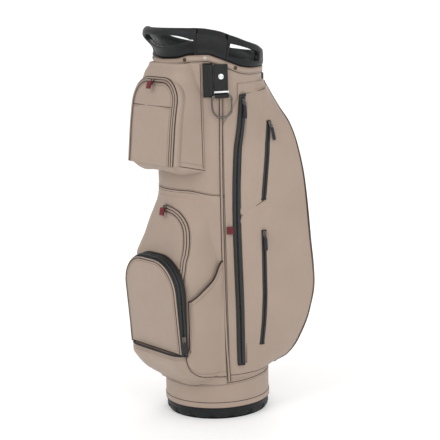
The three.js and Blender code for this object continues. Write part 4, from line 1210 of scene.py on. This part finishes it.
def panel_points(half, low, high, corner, face, crown, nu=110, nv=130, lean=None):
    """A padded arch panel: a crowned face that rolls back round its edge."""
    u = np.linspace(-1, 1, nu)[:, None]
    s = np.linspace(0, 1, nv)[None]
    z = low + (high - low) * s
    w = arch_half(z, half, high, corner)
    x = u * w
    to_side = (1 - np.abs(u)) * w
    to_top, to_bottom = high - z, z - low
    in_corner = np.clip((np.abs(x) - (half - corner)) / corner, 0, 1)
    up_corner = np.clip((z - (high - corner)) / corner, 0, 1)
    to_round = corner * (1 - np.sqrt(in_corner ** 2 + up_corner ** 2))
    edge = np.minimum(to_side, np.minimum(to_top, to_bottom))
    edge = np.where((in_corner > 0) & (up_corner > 0), np.minimum(edge, to_round), edge)
    edge = np.clip(edge, 0, None)
    roll = 2.6 * (1 - np.sqrt(np.clip(1 - (1 - np.clip(edge / 4.0, 0, 1)) ** 2, 0, 1)))
    puff = crown * smoothstep(edge, 0, 60)
    y = -(face - roll + puff)
    if lean is not None:
        y = y + lean(z)
    return np.stack(np.broadcast_arrays(x, y, z), axis=-1), edge


def build_ball_door():
    face, edge = panel_points(BALL_HALF, BALL_LOW, BALL_HIGH, BALL_CORNER, BALL_FACE_Y + 0.6, 3.0, lean=ball_lean)
    wave = 0.5 * ripple(face, 90, 51) + 0.2 * ripple(face, 30, 52)
    line = -0.9 * np.exp(-((edge - 5.6) / 1.2) ** 2)
    face[..., 1] -= (wave * smoothstep(edge, 4, 20) + line)
    back = face.copy()
    back[..., 1] = -(BALL_FACE_Y - 3.0) + ball_lean(back[..., 2])
    door = shell_object("ball_door_panel", face, back, TAN)
    finish(door, "ball_door", "tan_leather", "ball_door")

    def on_door(inset, proud):
        line = arch_path(BALL_HALF - inset, BALL_LOW + 3, BALL_HIGH - inset, BALL_CORNER - inset)
        return stacked(line[:, 0], ball_lean(line[:, 1]) - BALL_FACE_Y - proud, line[:, 1])

    path = on_door(3.4, -0.2)
    add("ball_door_piping", [tube_data(path, 1.5, 10, normals=FORWARD)], SEAM, body="ball_door")
    add("ball_door_stitches", [stitch_data(on_door(9.0, 0.9), FORWARD)], THREAD, body="ball_door")


# -------------------------------------------------------------- upper pocket
upper_depth, upper_half, upper_power = (curve(UPPER, k) for k in (1, 2, 3))


def upper_bottom(y):
    """Height of the upper pocket's underside, lower at the front."""
    return 613 - 0.25 * (y + 170)


def upper_lean(z):
    """How far back the upper door leans at height z."""
    return UPPER_FACE_Y - 5 - upper_depth(z)


def build_upper_pocket():
    count = 150
    angles = np.linspace(-UPPER_TO, UPPER_TO, count)
    low_radius = box_radius(angles, 176, 91, 12)
    low = upper_bottom(-low_radius * np.cos(np.radians(angles)))
    t = np.linspace(0, 1, 110)
    z = low[:, None] + (UPPER_TOP - low[:, None]) * t[None]
    grid_angle = np.repeat(angles[:, None], len(t), axis=1)
    radius = box_radius(grid_angle, upper_depth(z), upper_half(z), upper_power(z))
    roll = 5.0 * (1 - smoothstep(z - low[:, None], 0, 10)) ** 2
    radius = np.maximum(radius - roll, 126.4)
    points = on_tube(grid_angle, radius, z)
    soft = 0.6 * ripple(points, 90, 61) * smoothstep(UPPER_TO - np.abs(grid_angle), 0, 5)
    points = points + away(points) * soft[..., None]
    under = []
    for s in np.linspace(0.04, 1, 14):
        reach = radius[:, 0] + (125.8 - radius[:, 0]) * s
        spot = on_tube(angles, reach, 0.0)
        bulge = 13.0 * (radius[:, 0] - 125) / 55
        spot[:, 2] = upper_bottom(spot[:, 1]) - bulge * math.sin(math.pi * s) ** 0.8
        under.append(spot)
    over = [on_tube(angles, radius[:, -1] + (125.8 - radius[:, -1]) * s, UPPER_TOP + 1.5 * math.sin(math.pi * s))
            for s in np.linspace(0.15, 1, 6)]
    grid = np.concatenate([np.stack(under[::-1], axis=1), points, np.stack(over, axis=1)], axis=1)
    shell = grid_object("upper_pocket_shell", grid, TAN)
    finish(shell, "bag", "tan_leather", "upper_body")

    lines = [tube_data(path, thick, 8)
             for path, thick in ((points[:, 2], 0.85), (points[2, 4:], 0.8), (points[-3, 4:], 0.8))]
    add("upper_pocket_lines", lines, SEAM)
    add("upper_pocket_stitches", [stitch_data(points[:, 7])], THREAD)
    build_upper_door()


def build_upper_door():
    face, edge = panel_points(UPPER_HALF, UPPER_LOW, UPPER_HIGH, DOOR_CORNER, UPPER_FACE_Y - 0.4, 1.6,
                              lean=upper_lean)
    wave = 0.4 * ripple(face, 80, 62)
    drop = DOOR_SEAM_Z - face[..., 2]
    cross = -0.9 * np.exp(-(drop / 1.2) ** 2) + 0.5 * np.exp(-((drop - 4) / 2.0) ** 2)
    face[..., 1] -= wave * smoothstep(edge, 3, 20) + cross
    back = face.copy()
    back[..., 1] = -(UPPER_FACE_Y - 2.6) + upper_lean(back[..., 2])
    door = shell_object("upper_door_panel", face, back, TAN)
    finish(door, "bag", "tan_leather", "upper_door")

    turn = np.linspace(0, math.pi / 2, 44)
    across, up = np.cos(turn), np.sin(turn)
    bend_x, bend_z = UPPER_HALF - DOOR_CORNER, UPPER_HIGH - DOOR_CORNER
    bend = stacked(bend_x + DOOR_CORNER * across, bend_z + DOOR_CORNER * up, across, up)
    leg = stacked(UPPER_HALF, np.linspace(UPPER_LOW + 1, bend_z, 26, endpoint=False), 1.0, 0.0)
    right = np.concatenate([leg, bend])
    flat_top = stacked(np.linspace(1 - bend_x, bend_x - 1, 20), UPPER_HIGH, 0.0, 1.0)
    outline = np.concatenate([right * np.array([-1.0, 1, -1, 1]), flat_top, right[::-1]])

    def on_face(grow, back):
        """The door's outline, moved outwards by grow and back from its face."""
        x, z = outline[:, 0] + outline[:, 2] * grow, outline[:, 1] + outline[:, 3] * grow
        return stacked(x, upper_lean(z) - UPPER_FACE_Y + back, z)

    outward = stacked(outline[:, 2], 0.0, outline[:, 3])
    forward = unit(np.cross(unit(np.gradient(on_face(0, 0), axis=0)), outward))
    forward = forward * -np.sign(forward[:, 1:2])
    tilted = unit(forward * math.cos(0.45) + outward * math.sin(0.45))
    section = [(0.3, 0.6), (2.0, 1.6), (7.6, 3.9), (12.6, 6.2), (15.6, 8.4), (16.6, 12), (16.8, 24), (0.3, 24)]
    seat = np.stack([on_face(g, b) for g, b in section], axis=1).reshape(-1, 3)
    faces = facing_out(seat, grid_faces(len(outline), len(section), False, True))
    finish(make_object("upper_zip_seat", seat, faces, TAN), "bag", "tan_leather")
    tape = zip_run("upper_zip", on_face(7.6, 3.0), tilted, 9.4, TAN_EDGE, TEETH_BROWN, 1.8, 1.7)
    finish(tape, "bag", "zip_tape_tan", "upper_zip_tape")
    cords = [tube_data(on_face(grow, back), 1.15, 8, normals=tilted) for grow, back in ((2.4, 1.0), (12.9, 5.6))]
    x = np.linspace(-UPPER_HALF + 1, UPPER_HALF - 1, 60)
    face_y = float(upper_lean(DOOR_SEAM_Z)) - UPPER_FACE_Y
    cords.append(tube_data(stacked(x, face_y - 0.1, DOOR_SEAM_Z), 0.6, 8, normals=FORWARD))
    add("upper_zip_cords", cords, SEAM)
    below = stacked(x[2:-2], face_y - 0.9, DOOR_SEAM_Z - 3.6)
    rows = [stitch_data(on_face(-4.0, -0.3), forward), stitch_data(below, FORWARD)]
    add("upper_door_stitches", rows, THREAD)


# -------------------------------------------------------------- slip pockets
def build_slip_pockets():
    """The card pocket on each side of the ball pocket, open along its slanted top."""
    opening = curve([(33, 300), (37, 306), (43, 322), (52, 346), (61, 384)])
    floor = curve([(33, 240), (34, 176), (36, 134), (41, 114), (50, 107), (61.5, 106)])
    angles = np.linspace(33.4, 61.6, 90)
    t = np.linspace(0, 1, 90)
    grid_angle = np.repeat(angles[:, None], 90, axis=1)
    low, high = floor(angles)[:, None], opening(angles)[:, None]
    z = low + (high - low) * t[None]
    grid_angle = grid_angle - 3.0 * np.clip(1 - (grid_angle - 33.4) / 18, 0, 1) ** 2 * smoothstep(184 - z, 0, 14)
    skirt = np.maximum(box_radius(grid_angle, skirt_depth(z), skirt_half(z), 7), 126.6)
    base = skirt + (front_radius(grid_angle, z) - skirt) * smoothstep(z, 168, 236)
    rise = smoothstep(t[None], 0.25, 1.0)
    ends = smoothstep(grid_angle, 33.4, 38) * smoothstep(61.6 - grid_angle, 0, 3.5)
    gap = 1.2 + 7.2 * rise * ends
    lip = np.exp(-((1 - t[None]) * (high - low) / 3.0) ** 2)
    outer = base + gap + 1.4 + 0.6 * lip
    points = on_tube(grid_angle, outer, z)
    waves = 0.5 * ripple(points, 60, 71) * ends
    outer_points = points + away(points) * waves[..., None]
    inner_points = on_tube(grid_angle, base + np.maximum(gap - 0.6, 0.5), z)
    panel = shell_object("slip_panel_right", outer_points, inner_points, TAN)
    both_sides(panel, "tan_leather", ["slip_pocket_right"])
    top = outer_points[:, -1]
    hem = tube_data(top, 1.5, 10)
    # Painted shadow: a dark cord laid on the body just inside the opening, where the opening's shade falls. It is
    # made as one piece with the dark hem cord along the panel's top edge.
    shadow = tube_data(on_tube(angles, base[:, -1] + 0.6, opening(angles) + 0.5), 1.2, 8)
    add_pair("slip_hem_and_painted_shadow", [hem, shadow], SEAM)
    outline = np.concatenate([outer_points[0, ::-1], outer_points[1:, 0]])
    line = tube_data(outline, 0.85, 8)
    add_pair("slip_outline", [line], SEAM)
    rows = [stitch_data(outer_points[2:-2, -6])]
    inset = np.concatenate([outer_points[3, 80:3:-1], outer_points[4:-3, 4]])
    rows.append(stitch_data(inset))
    add_pair("slip_stitches", rows, THREAD)


# -------------------------------------------------------------- side pockets
SIDE_CURVES = [curve(SIDE, k) for k in range(1, 7)]


def side_knots(z):
    """The side pocket's outline at height z: where it leaves the tube, its corners and its faces."""
    f = [float(c(z)) for c in SIDE_CURVES]
    front = 66 + (84 - 66) * min(max((z - 700) / 60, 0), 1)
    rear = 140 + 4 * min(max((z - 120) / 60, 0), 1)
    start = on_tube(front, 126.9, z)
    main, small, corner = (np.array([f[k], f[k + 1], z]) for k in (0, 2, 4))
    end = on_tube(rear, 127.7, z)
    flank = (small + corner) / 2
    outward = np.array([corner[1] - small[1], small[0] - corner[0], 0.0])
    outward /= np.linalg.norm(outward)
    flank = flank + outward * 6 * min(np.linalg.norm(corner - small) / 120, 1)
    rear_face = (corner + end) / 2
    rear_face[1] += 6 * min(np.linalg.norm(corner - end) / 120, 1)
    return np.array([start, main, small, flank, corner, rear_face, end])


def side_line(z, knots):
    """Points of the side pocket's outline at height z, by knot number."""
    return through(side_knots(z), knots)


def on_side(knots, heights, out=0.0):
    points = np.array([side_line(z, [k])[0] for k, z in zip(np.broadcast_to(knots, np.shape(heights)), heights)])
    if out:
        points = points + side_normals(knots, heights) * out
    return points


def side_normals(knots, heights):
    knots = np.broadcast_to(knots, np.shape(heights)).astype(float)
    a = on_side(np.minimum(knots + 0.06, 6), heights) - on_side(np.maximum(knots - 0.06, 0), heights)
    b = on_side(knots, np.asarray(heights) + 3) - on_side(knots, np.asarray(heights) - 3)
    return unit(np.cross(a, b))


def build_side_pocket():
    knots = np.concatenate([np.linspace(0, 3.4, 90, endpoint=False), np.linspace(3.4, 4.6, 50, endpoint=False),
                            np.linspace(4.6, 6, 26)])
    heights = np.concatenate([np.linspace(SIDE_FOOT, 130, 22, endpoint=False),
                              np.linspace(130, 700, 130, endpoint=False), np.linspace(700, SIDE_HEAD, 34)])
    points = np.stack([side_line(z, knots) for z in heights], axis=1)
    reach = np.linalg.norm(points[..., :2], axis=-1, keepdims=True)
    points[..., :2] *= np.maximum(reach, 126.6) / reach
    normals = grid_normals(points)
    k = knots[:, None]
    z = np.broadcast_to(heights[None], (len(knots), len(heights)))
    fade = smoothstep(k, 0, 0.5) * smoothstep(6 - k, 0, 0.4) * smoothstep(z, SIDE_FOOT, 130)
    fade = fade * smoothstep(SIDE_HEAD - z, 0, 30)
    puff = 2.2 * np.sin(np.pi * np.clip((k - 1) / 1.0, 0, 1)) * smoothstep(z, 120, 240)
    puff = puff + 2.6 * np.sin(np.pi * np.clip((k - 2.0) / 2.0, 0, 1)) * smoothstep(z, 120, 260)
    folds = 0.9 * ripple(points * np.array([1, 1, 0.5]), 130, 81) + 0.4 * ripple(points, 46, 82)
    gap = distance_to(points, on_side(1.0, np.linspace(128, 772, 240)))
    channel = -1.6 * np.exp(-(gap / 7.0) ** 4)
    for name in ("low", "high", "cross", "yoke"):
        near = distance_to(points, on_side(*SIDE_LINES[name]))
        channel = channel - 1.2 * np.exp(-(near / 3.0) ** 2) + 0.9 * np.exp(-((near - 9) / 4.0) ** 2)
    sag = -2.2 * np.exp(-((z - 742) / 16.0) ** 2) * smoothstep(k, 1.1, 1.6) * smoothstep(3.6 - k, 0, 0.6)
    points = points + normals * ((puff + folds + channel + sag) * fade)[..., None]
    foot = []
    for s in np.linspace(1, 0.08, 10):
        ring = points[:, 0].copy()
        size = np.linalg.norm(ring[:, :2], axis=1)
        target = 125.4 + (size - 125.4) * math.cos((1 - s) * math.pi / 2)
        ring[:, :2] *= (target / size)[:, None]
        ring[:, 2] -= 4.0 * math.sin((1 - s) * math.pi / 2)
        foot.append(ring)
    cap = []
    for s in np.linspace(0.08, 1, 6):
        ring = points[:, -1].copy()
        size = np.linalg.norm(ring[:, :2], axis=1)
        ring[:, :2] *= ((size + (125.2 - size) * s) / size)[:, None]
        cap.append(ring)
    grid = np.concatenate([np.stack(foot[::-1], axis=1), points, np.stack(cap, axis=1)], axis=1)
    shell = grid_object("side_shell_right", grid, TAN)
    both_sides(shell, "tan_leather", ["side_pocket_right"])


LOW_Z, HIGH_Z, SPAN = np.linspace(178, 452, 110), np.linspace(525, 700, 80), np.linspace(0, 1, 40)
SIDE_LINES = {
    "low": (2.0, LOW_Z),
    "high": (np.interp(HIGH_Z, [525, 560, 650, 700], [2.0, 2.05, 2.15, 2.35]), HIGH_Z),
    "cross": (2.0 - 0.86 * SPAN, 522 - 36 * SPAN),
    "yoke": (1.05 + 2.7 * SPAN, 768 + 15 * SPAN),
    "link": (2.35 + 1.3 * SPAN, 703 + 22 * SPAN)}


def side_route(name):
    """Points and normals along one of the side pocket's zips or seams."""
    return on_side(*SIDE_LINES[name]), side_normals(*SIDE_LINES[name])


def build_side_zips():
    z = np.linspace(134, 765, 240)
    path, normals = on_side(1.0, z, 2.2), side_normals(1.0, z)
    run = zip_run("main_zip_right", path, normals, 16.5, TAPE, TEETH, 2.6, 1.7)
    both_sides(run, "zip_tape_black", ["main_zip_tape_right"])
    stops = []
    for end in (133.0, 766.0):
        spot = on_side(1.0, np.array([end]), 2.6)[0]
        facing = 68 if end < 400 else 86
        stops.append(placed(rounded_block((17.5, 5.0, 2.6), 0.9), wall_matrix(spot, facing)))
    add_pair("main_zip_ends", stops, BLACK, "black_leather")
    cords, rows = [], []
    ahead = unit(np.cross(normals, np.gradient(path, axis=0)))
    for sign in (-1, 1):
        cords.append(tube_data(path - normals * 1.2 + ahead * sign * 9.4, 0.7, 8, normals=normals))
    flip = np.sign(ahead[:, 1:2])
    rows.append(stitch_data(path - normals * 1.5 + ahead * flip * 15.0, normals))
    thin = tube_data(path - normals * 1.6 + ahead * flip * 12.6, 0.55, 6, normals=normals)

    (low, low_n), (high, high_n) = side_route("low"), side_route("high")
    for name, line, line_n, width in (("low", low, low_n, 11.5), ("high", high, high_n, 12.0)):
        run = zip_run(f"{name}_zip_right", line + line_n * 0.6, line_n, width, TAPE, TEETH, 2.2, 1.4)
        both_sides(run, "zip_tape_black")
    ends = []
    for spot, facing, tilt in ((low[0], 72, -6), (low[-1], 74, 4), (high[0], 74, 4), (high[-1], 88, 20)):
        out = wall_matrix(spot, facing, tilt)
        ends.append(placed(rounded_block((12.6, 4.4, 2.2), 0.8, (0, 0, 1.4)), out))
    add_pair("small_zip_ends", ends, BLACK, "black_leather")
    for line, line_n in ((low, low_n), (high, high_n)):
        side = unit(np.cross(line_n, np.gradient(line, axis=0)))
        for sign in (-1, 1):
            rows.append(stitch_data(line + side * sign * 9.0, line_n))
    for name, lift, thick, drop in (("cross", 0.2, 0.8, -4.0), ("yoke", 0.2, 0.7, 4.0), ("link", 0.5, 0.7, None)):
        seam, seam_n = side_route(name)
        cords.append(tube_data(seam + seam_n * lift, thick, 8, normals=seam_n))
        if drop is not None:
            rows.append(stitch_data(seam + UP * drop, seam_n))
    cords.append(thin)
    add_pair("side_lines", cords, SEAM)
    add_pair("side_stitches", rows, THREAD)


def build_side_edges():
    """Double piping round the rear corner and the outline of the pocket's foot."""
    cords = []
    z = np.linspace(112, 790, 260)
    for knot in (3.86, 4.04):
        path, out = on_side(knot, z), side_normals(knot, z)
        cords.append(tube_data(path + out * 1.0, 1.0, 8, normals=out))
    knots = np.linspace(0.1, 5.6, 120)
    rim = side_line(108.0, knots)
    cords.append(tube_data(rim, 0.8, 8))
    add_pair("side_piping", cords, SEAM)
    spot = on_side(0.56, np.array([456.0]))[0]
    matrix = wall_matrix(spot, 64, 0)
    turn = np.linspace(-math.pi / 2, math.pi / 2, 14)
    fold = stacked(10.5 + 2.4 * np.cos(turn), 2.6 + 2.2 * np.sin(turn))
    outline = np.concatenate([[(-10.5, 4.8)], [(0, 5.2)], fold[::-1], [(0, 0.6)], [(-10.5, 0.6)]])
    widths = np.linspace(-8.5, 8.5, 12)
    points = np.stack([stacked(outline[:, 0], w, outline[:, 1] - 0.2 * (abs(w) > 8)) for w in widths])
    tab = points.reshape(-1, 3), tube_faces(len(widths), len(outline))
    add_pair("red_tab", [placed(tab, matrix)], RED, "red_leather")
    ring = np.array([(-7.5, -6.5), (7.8, -6.5), (7.8, 6.5), (-7.5, 6.5)])
    ring = resample(np.concatenate([ring, ring[:1]]), 1.5)
    turn_m, shift = matrix
    path = stacked(ring[:, 0], ring[:, 1], 5.0) @ turn_m.T + shift
    row = stitch_data(path, turn_m[:, 2], 3.2, 2.2, 0.35, 0.15)
    add_pair("red_tab_stitches", [row], THREAD, "red_leather")


# -------------------------------------------------------------- towel holder
def build_towel_holder():
    angle = np.linspace(46.8, 57.4, 50)
    z = np.linspace(765, 843, 70)
    grid_angle, grid_z = np.meshgrid(angle, z, indexing="ij")
    u = np.abs(np.linspace(-1, 1, 50))[:, None]
    v = np.abs(np.linspace(-1, 1, 70))[None]
    swell = np.clip(1 - u ** 8, 0, 1) ** 0.5 * np.clip(1 - v ** 14, 0, 1) ** 0.5
    rib = 0.7 * np.exp(-((grid_angle - 51.4) / 0.35) ** 2)
    outer = on_tube(grid_angle, 126.2 + 9.6 * swell - rib * swell, grid_z)
    inner = on_tube(grid_angle, 125.6, grid_z)
    pad = shell_object("towel_pad", outer, inner, BLACK)
    finish(pad, "bag", "black_leather", "towel_block")
    crown = np.clip(1 - np.linspace(-1, 1, 40) ** 14, 0, 1) ** 0.5
    path = on_tube(51.4, 126.2 + 9.2 * crown, np.linspace(TOWEL_Z, 840, 40))
    add("towel_pad_stitches", [stitch_data(path)], THREAD_BLACK, "black_leather")

    matrix = wall_matrix(on_tube(TOWEL_ANGLE, 135.5, TOWEL_Z), TOWEL_ANGLE)
    turn = np.linspace(math.pi, 0, 26)
    front = stacked(-4.2, np.linspace(72, 6, 20))
    bend = stacked(4.6 * np.cos(turn) - 0.6, 2.0 - 5.6 * np.sin(turn))
    tail = [(4.2, 3.0), (4.2, 3.0 + 6 / 7)]
    strap = resample(np.concatenate([front, bend, tail]), 1.2)
    widths = np.linspace(-16.2, 16.2, 40)
    edge = np.clip(1 - (np.abs(widths) / 16.4) ** 12, 0, 1) ** 0.5
    along = unit(np.gradient(strap, axis=0))
    side = stacked(-along[:, 1], along[:, 0])
    sheets = []
    for sign in (-1, 1):
        rows = [stacked(w, strap[:, 1] + sign * side[:, 1] * 1.1 * e, strap[:, 0] + sign * side[:, 0] * 1.1 * e)
                for w, e in zip(widths, edge)]
        sheets.append(np.stack(rows))
    turn_m, shift = matrix
    world = [s @ turn_m.T + shift for s in sheets]
    strap_piece = shell_object("towel_strap", world[0], world[1], BLACK)
    finish(strap_piece, "bag", "black_leather", "towel_tab")
    rows = []
    for x in (-13.4, 13.4):
        height = np.linspace(12, 70, 40)
        local = stacked(x, height, -2.9)
        rows.append(stitch_data(local @ turn_m.T + shift, turn_m[:, 2]))
    add("towel_strap_stitches", rows, THREAD_BLACK, "black_leather")
    bar = placed(rounded_block((35, 5.2, 3.4), 1.1, (0, 9.0, -2.0)), matrix)
    pins = []
    for x in (-14.5, 14.5):
        pins.append(placed(rounded_block((2.4, 2.4, 1.4), 0.6, (x, 9.0, 0.0)), matrix))
    add("towel_clamp", [bar] + pins, SILVER, "silver", ["towel_bar"])
    emblem = [(0, 1.5), (2.2, 1.4), (3.0, 0.9), (4.0, 0.9), (4.8, 1.5), (6.0, 1.4), (6.5, 0.8), (6.5, -1.0),
              (0, -1.0)]
    centre = np.array([0, 44.0, -3.2]) @ turn_m.T + shift
    disc = lathe_object("plain_emblem", emblem, centre, SILVER, 48, turn_m[:, 2])
    finish(disc, "bag", "silver", "emblem_disc")

    stops = np.array([
        (22.5, -12.2), (22.6, -6), (21.0, -1.6), (17.5, 0), (0, 0), (-17.5, 0), (-21.0, -1.6), (-22.8, -6),
        (-23, -22), (-20.6, -35), (-12, -45.8), (0, -49), (12, -45.8), (20, -39.6), (22.5, -34.2)], float)
    ring = spline(np.concatenate([stops, np.zeros((len(stops), 1))], axis=1), 10)
    wire = tube_data(ring @ turn_m.T + shift, 2.35, 14, normals=turn_m[:, 2])
    finish(make_object("towel_ring_wire", *wire, NICKEL), "towel_ring", "gunmetal", "towel_ring")
    steps = np.linspace(-33.2, -12.8, 26)
    gate_path = stacked(22.5, steps, 0.0) @ turn_m.T + shift
    taper = 1.8 + 0.35 * np.clip(1 - ((np.arange(26) - 4) / 3.0) ** 2, 0, 1)
    gate = tube_data(gate_path, 1.8, 12, normals=turn_m[:, 2], taper=taper)
    finish(make_object("ring_gate_bar", *gate, NICKEL), "ring_gate", "gunmetal", "ring_gate")


# ------------------------------------------------------------- rear fittings
def build_rear():
    angles = np.linspace(165.6, 194.4, 70)
    heights = np.linspace(SPINE_FOOT, SPINE_HEAD, 200)
    grid_angle, z = np.meshgrid(angles, heights, indexing="ij")
    u = np.linspace(-1, 1, 70)[:, None]
    v = np.linspace(-1, 1, 200)[None]
    swell = np.clip(1 - np.abs(u) ** 7, 0, 1) ** 0.6 * np.clip(1 - np.abs(v) ** 60, 0, 1) ** 0.6
    quilt = np.abs(np.sin(np.pi * (z - SPINE_FOOT) / SPINE_PITCH)) ** 0.4
    outer = on_tube(grid_angle, 125.6 + (3.6 + 2.6 * quilt) * swell, z)
    inner = on_tube(grid_angle, 125.3, z)
    spine = shell_object("spine_pad", outer, inner, TAN)
    finish(spine, "bag", "tan_leather", "rear_spine")
    lines = [tube_data(on_tube(edge, 125.9, heights), 1.2, 8) for edge in (165.4, 194.6)]
    for k in range(1, 12):
        across = on_tube(np.linspace(166.6, 193.4, 40), 129.0, SPINE_FOOT + SPINE_PITCH * k)
        lines.append(tube_data(across, 0.7, 6))
    add("spine_lines", lines, SEAM)

    centre = on_tube(UMBRELLA_ANGLE, UMBRELLA_R, 0.0)
    profile = [(0, 99.2), (4, 99.4), (6, 100.4), (7.6, 103), (9.8, 108), (10.6, 108.8), (10.8, 111), (10.4, 112),
               (13.9, 151), (14.7, 152), (15, 157), (15, 163.6), (14.5, 165), (13.4, 165), (12.8, 163.8),
               (9.4, 125), (7.4, 106), (5, 105.2), (0, 105.2)]
    cup = lathe_object("umbrella_well_cup", profile, centre, PLASTIC, 64)
    finish(cup, "bag", "moulded_black", "umbrella_cup")
    bridge = []
    for height, depth in ((112.0, 6.0), (150.0, 3.0)):
        spot = on_tube(UMBRELLA_ANGLE, 124.5 + depth / 2, height)
        bridge.append(placed(rounded_block((14, 12, depth), 1.2), wall_matrix(spot, UMBRELLA_ANGLE)))
    add("umbrella_cup_foot", bridge, PLASTIC, "moulded_black")
    angles = np.linspace(BAND_ANGLE - 8.8, BAND_ANGLE + 8.8, 60)
    lift = 6.6 * np.clip(1 - (np.abs(angles - BAND_ANGLE) / 7.0) ** 4, 0, 1) ** 0.7
    heights = np.linspace(772.5, 805.5, 30)
    crimp = 0.25 * np.sin(heights * 2.1)[None] * (lift[:, None] > 1)
    outer = on_tube(angles[:, None], 126.4 + lift[:, None] + crimp, heights[None])
    inner = on_tube(angles[:, None], 125.2 + np.maximum(lift[:, None] - 0.5, 0), heights[None])
    finish(shell_object("umbrella_band", outer, inner, TAPE), "bag", "black_leather", "umbrella_loop")


for build in (
        build_base, build_skin, build_piping, build_collar, build_cuff, build_grips, build_wells,
        build_front_body, build_middle_zip, build_skirt, build_ball_pocket, build_upper_pocket,
        build_slip_pockets, build_side_pocket, build_side_zips, build_side_edges, build_towel_holder,
        build_rear):
    build()

add_zip_pull("ball", (105.8, -175.3, 216), 62, 0, PULLER, 9, 30, 3.0, 1, "black_leather")
middle_y = -float(front_radius(0.0, MIDDLE_TOP)) - 4.4
add_zip_pull("middle", (0, middle_y, MIDDLE_TOP + 1), 0, 15, RED, 12, 19, 3.0, 0, "red_leather")
upper_y = -UPPER_FACE_Y + float(upper_lean(800.0)) - 2.6
add_zip_pull("upper", (-4, upper_y, 801.5), 0, 24, RED, 12, 19, 3.0, 0, "red_leather")
for zip_name, knot, z, rise, facing, tilt in (
        ("main", 1.0, 752.0, 6.0, 86, 1), ("high", 2.35, 694.0, 3.4, 88, 17), ("low", 2.0, 446.0, 3.4, 74, 3)):
    spot = side_line(z, [knot])[0] + on_tube(facing, rise, 0.0)
    for side, tag in ((1, "right"), (-1, "left")):
        place = spot * np.array([side, 1, 1])
        add_zip_pull(f"{zip_name}_{tag}", place, side * facing, tilt, PULLER, 9, 36, 3.2, 1, "black_leather")
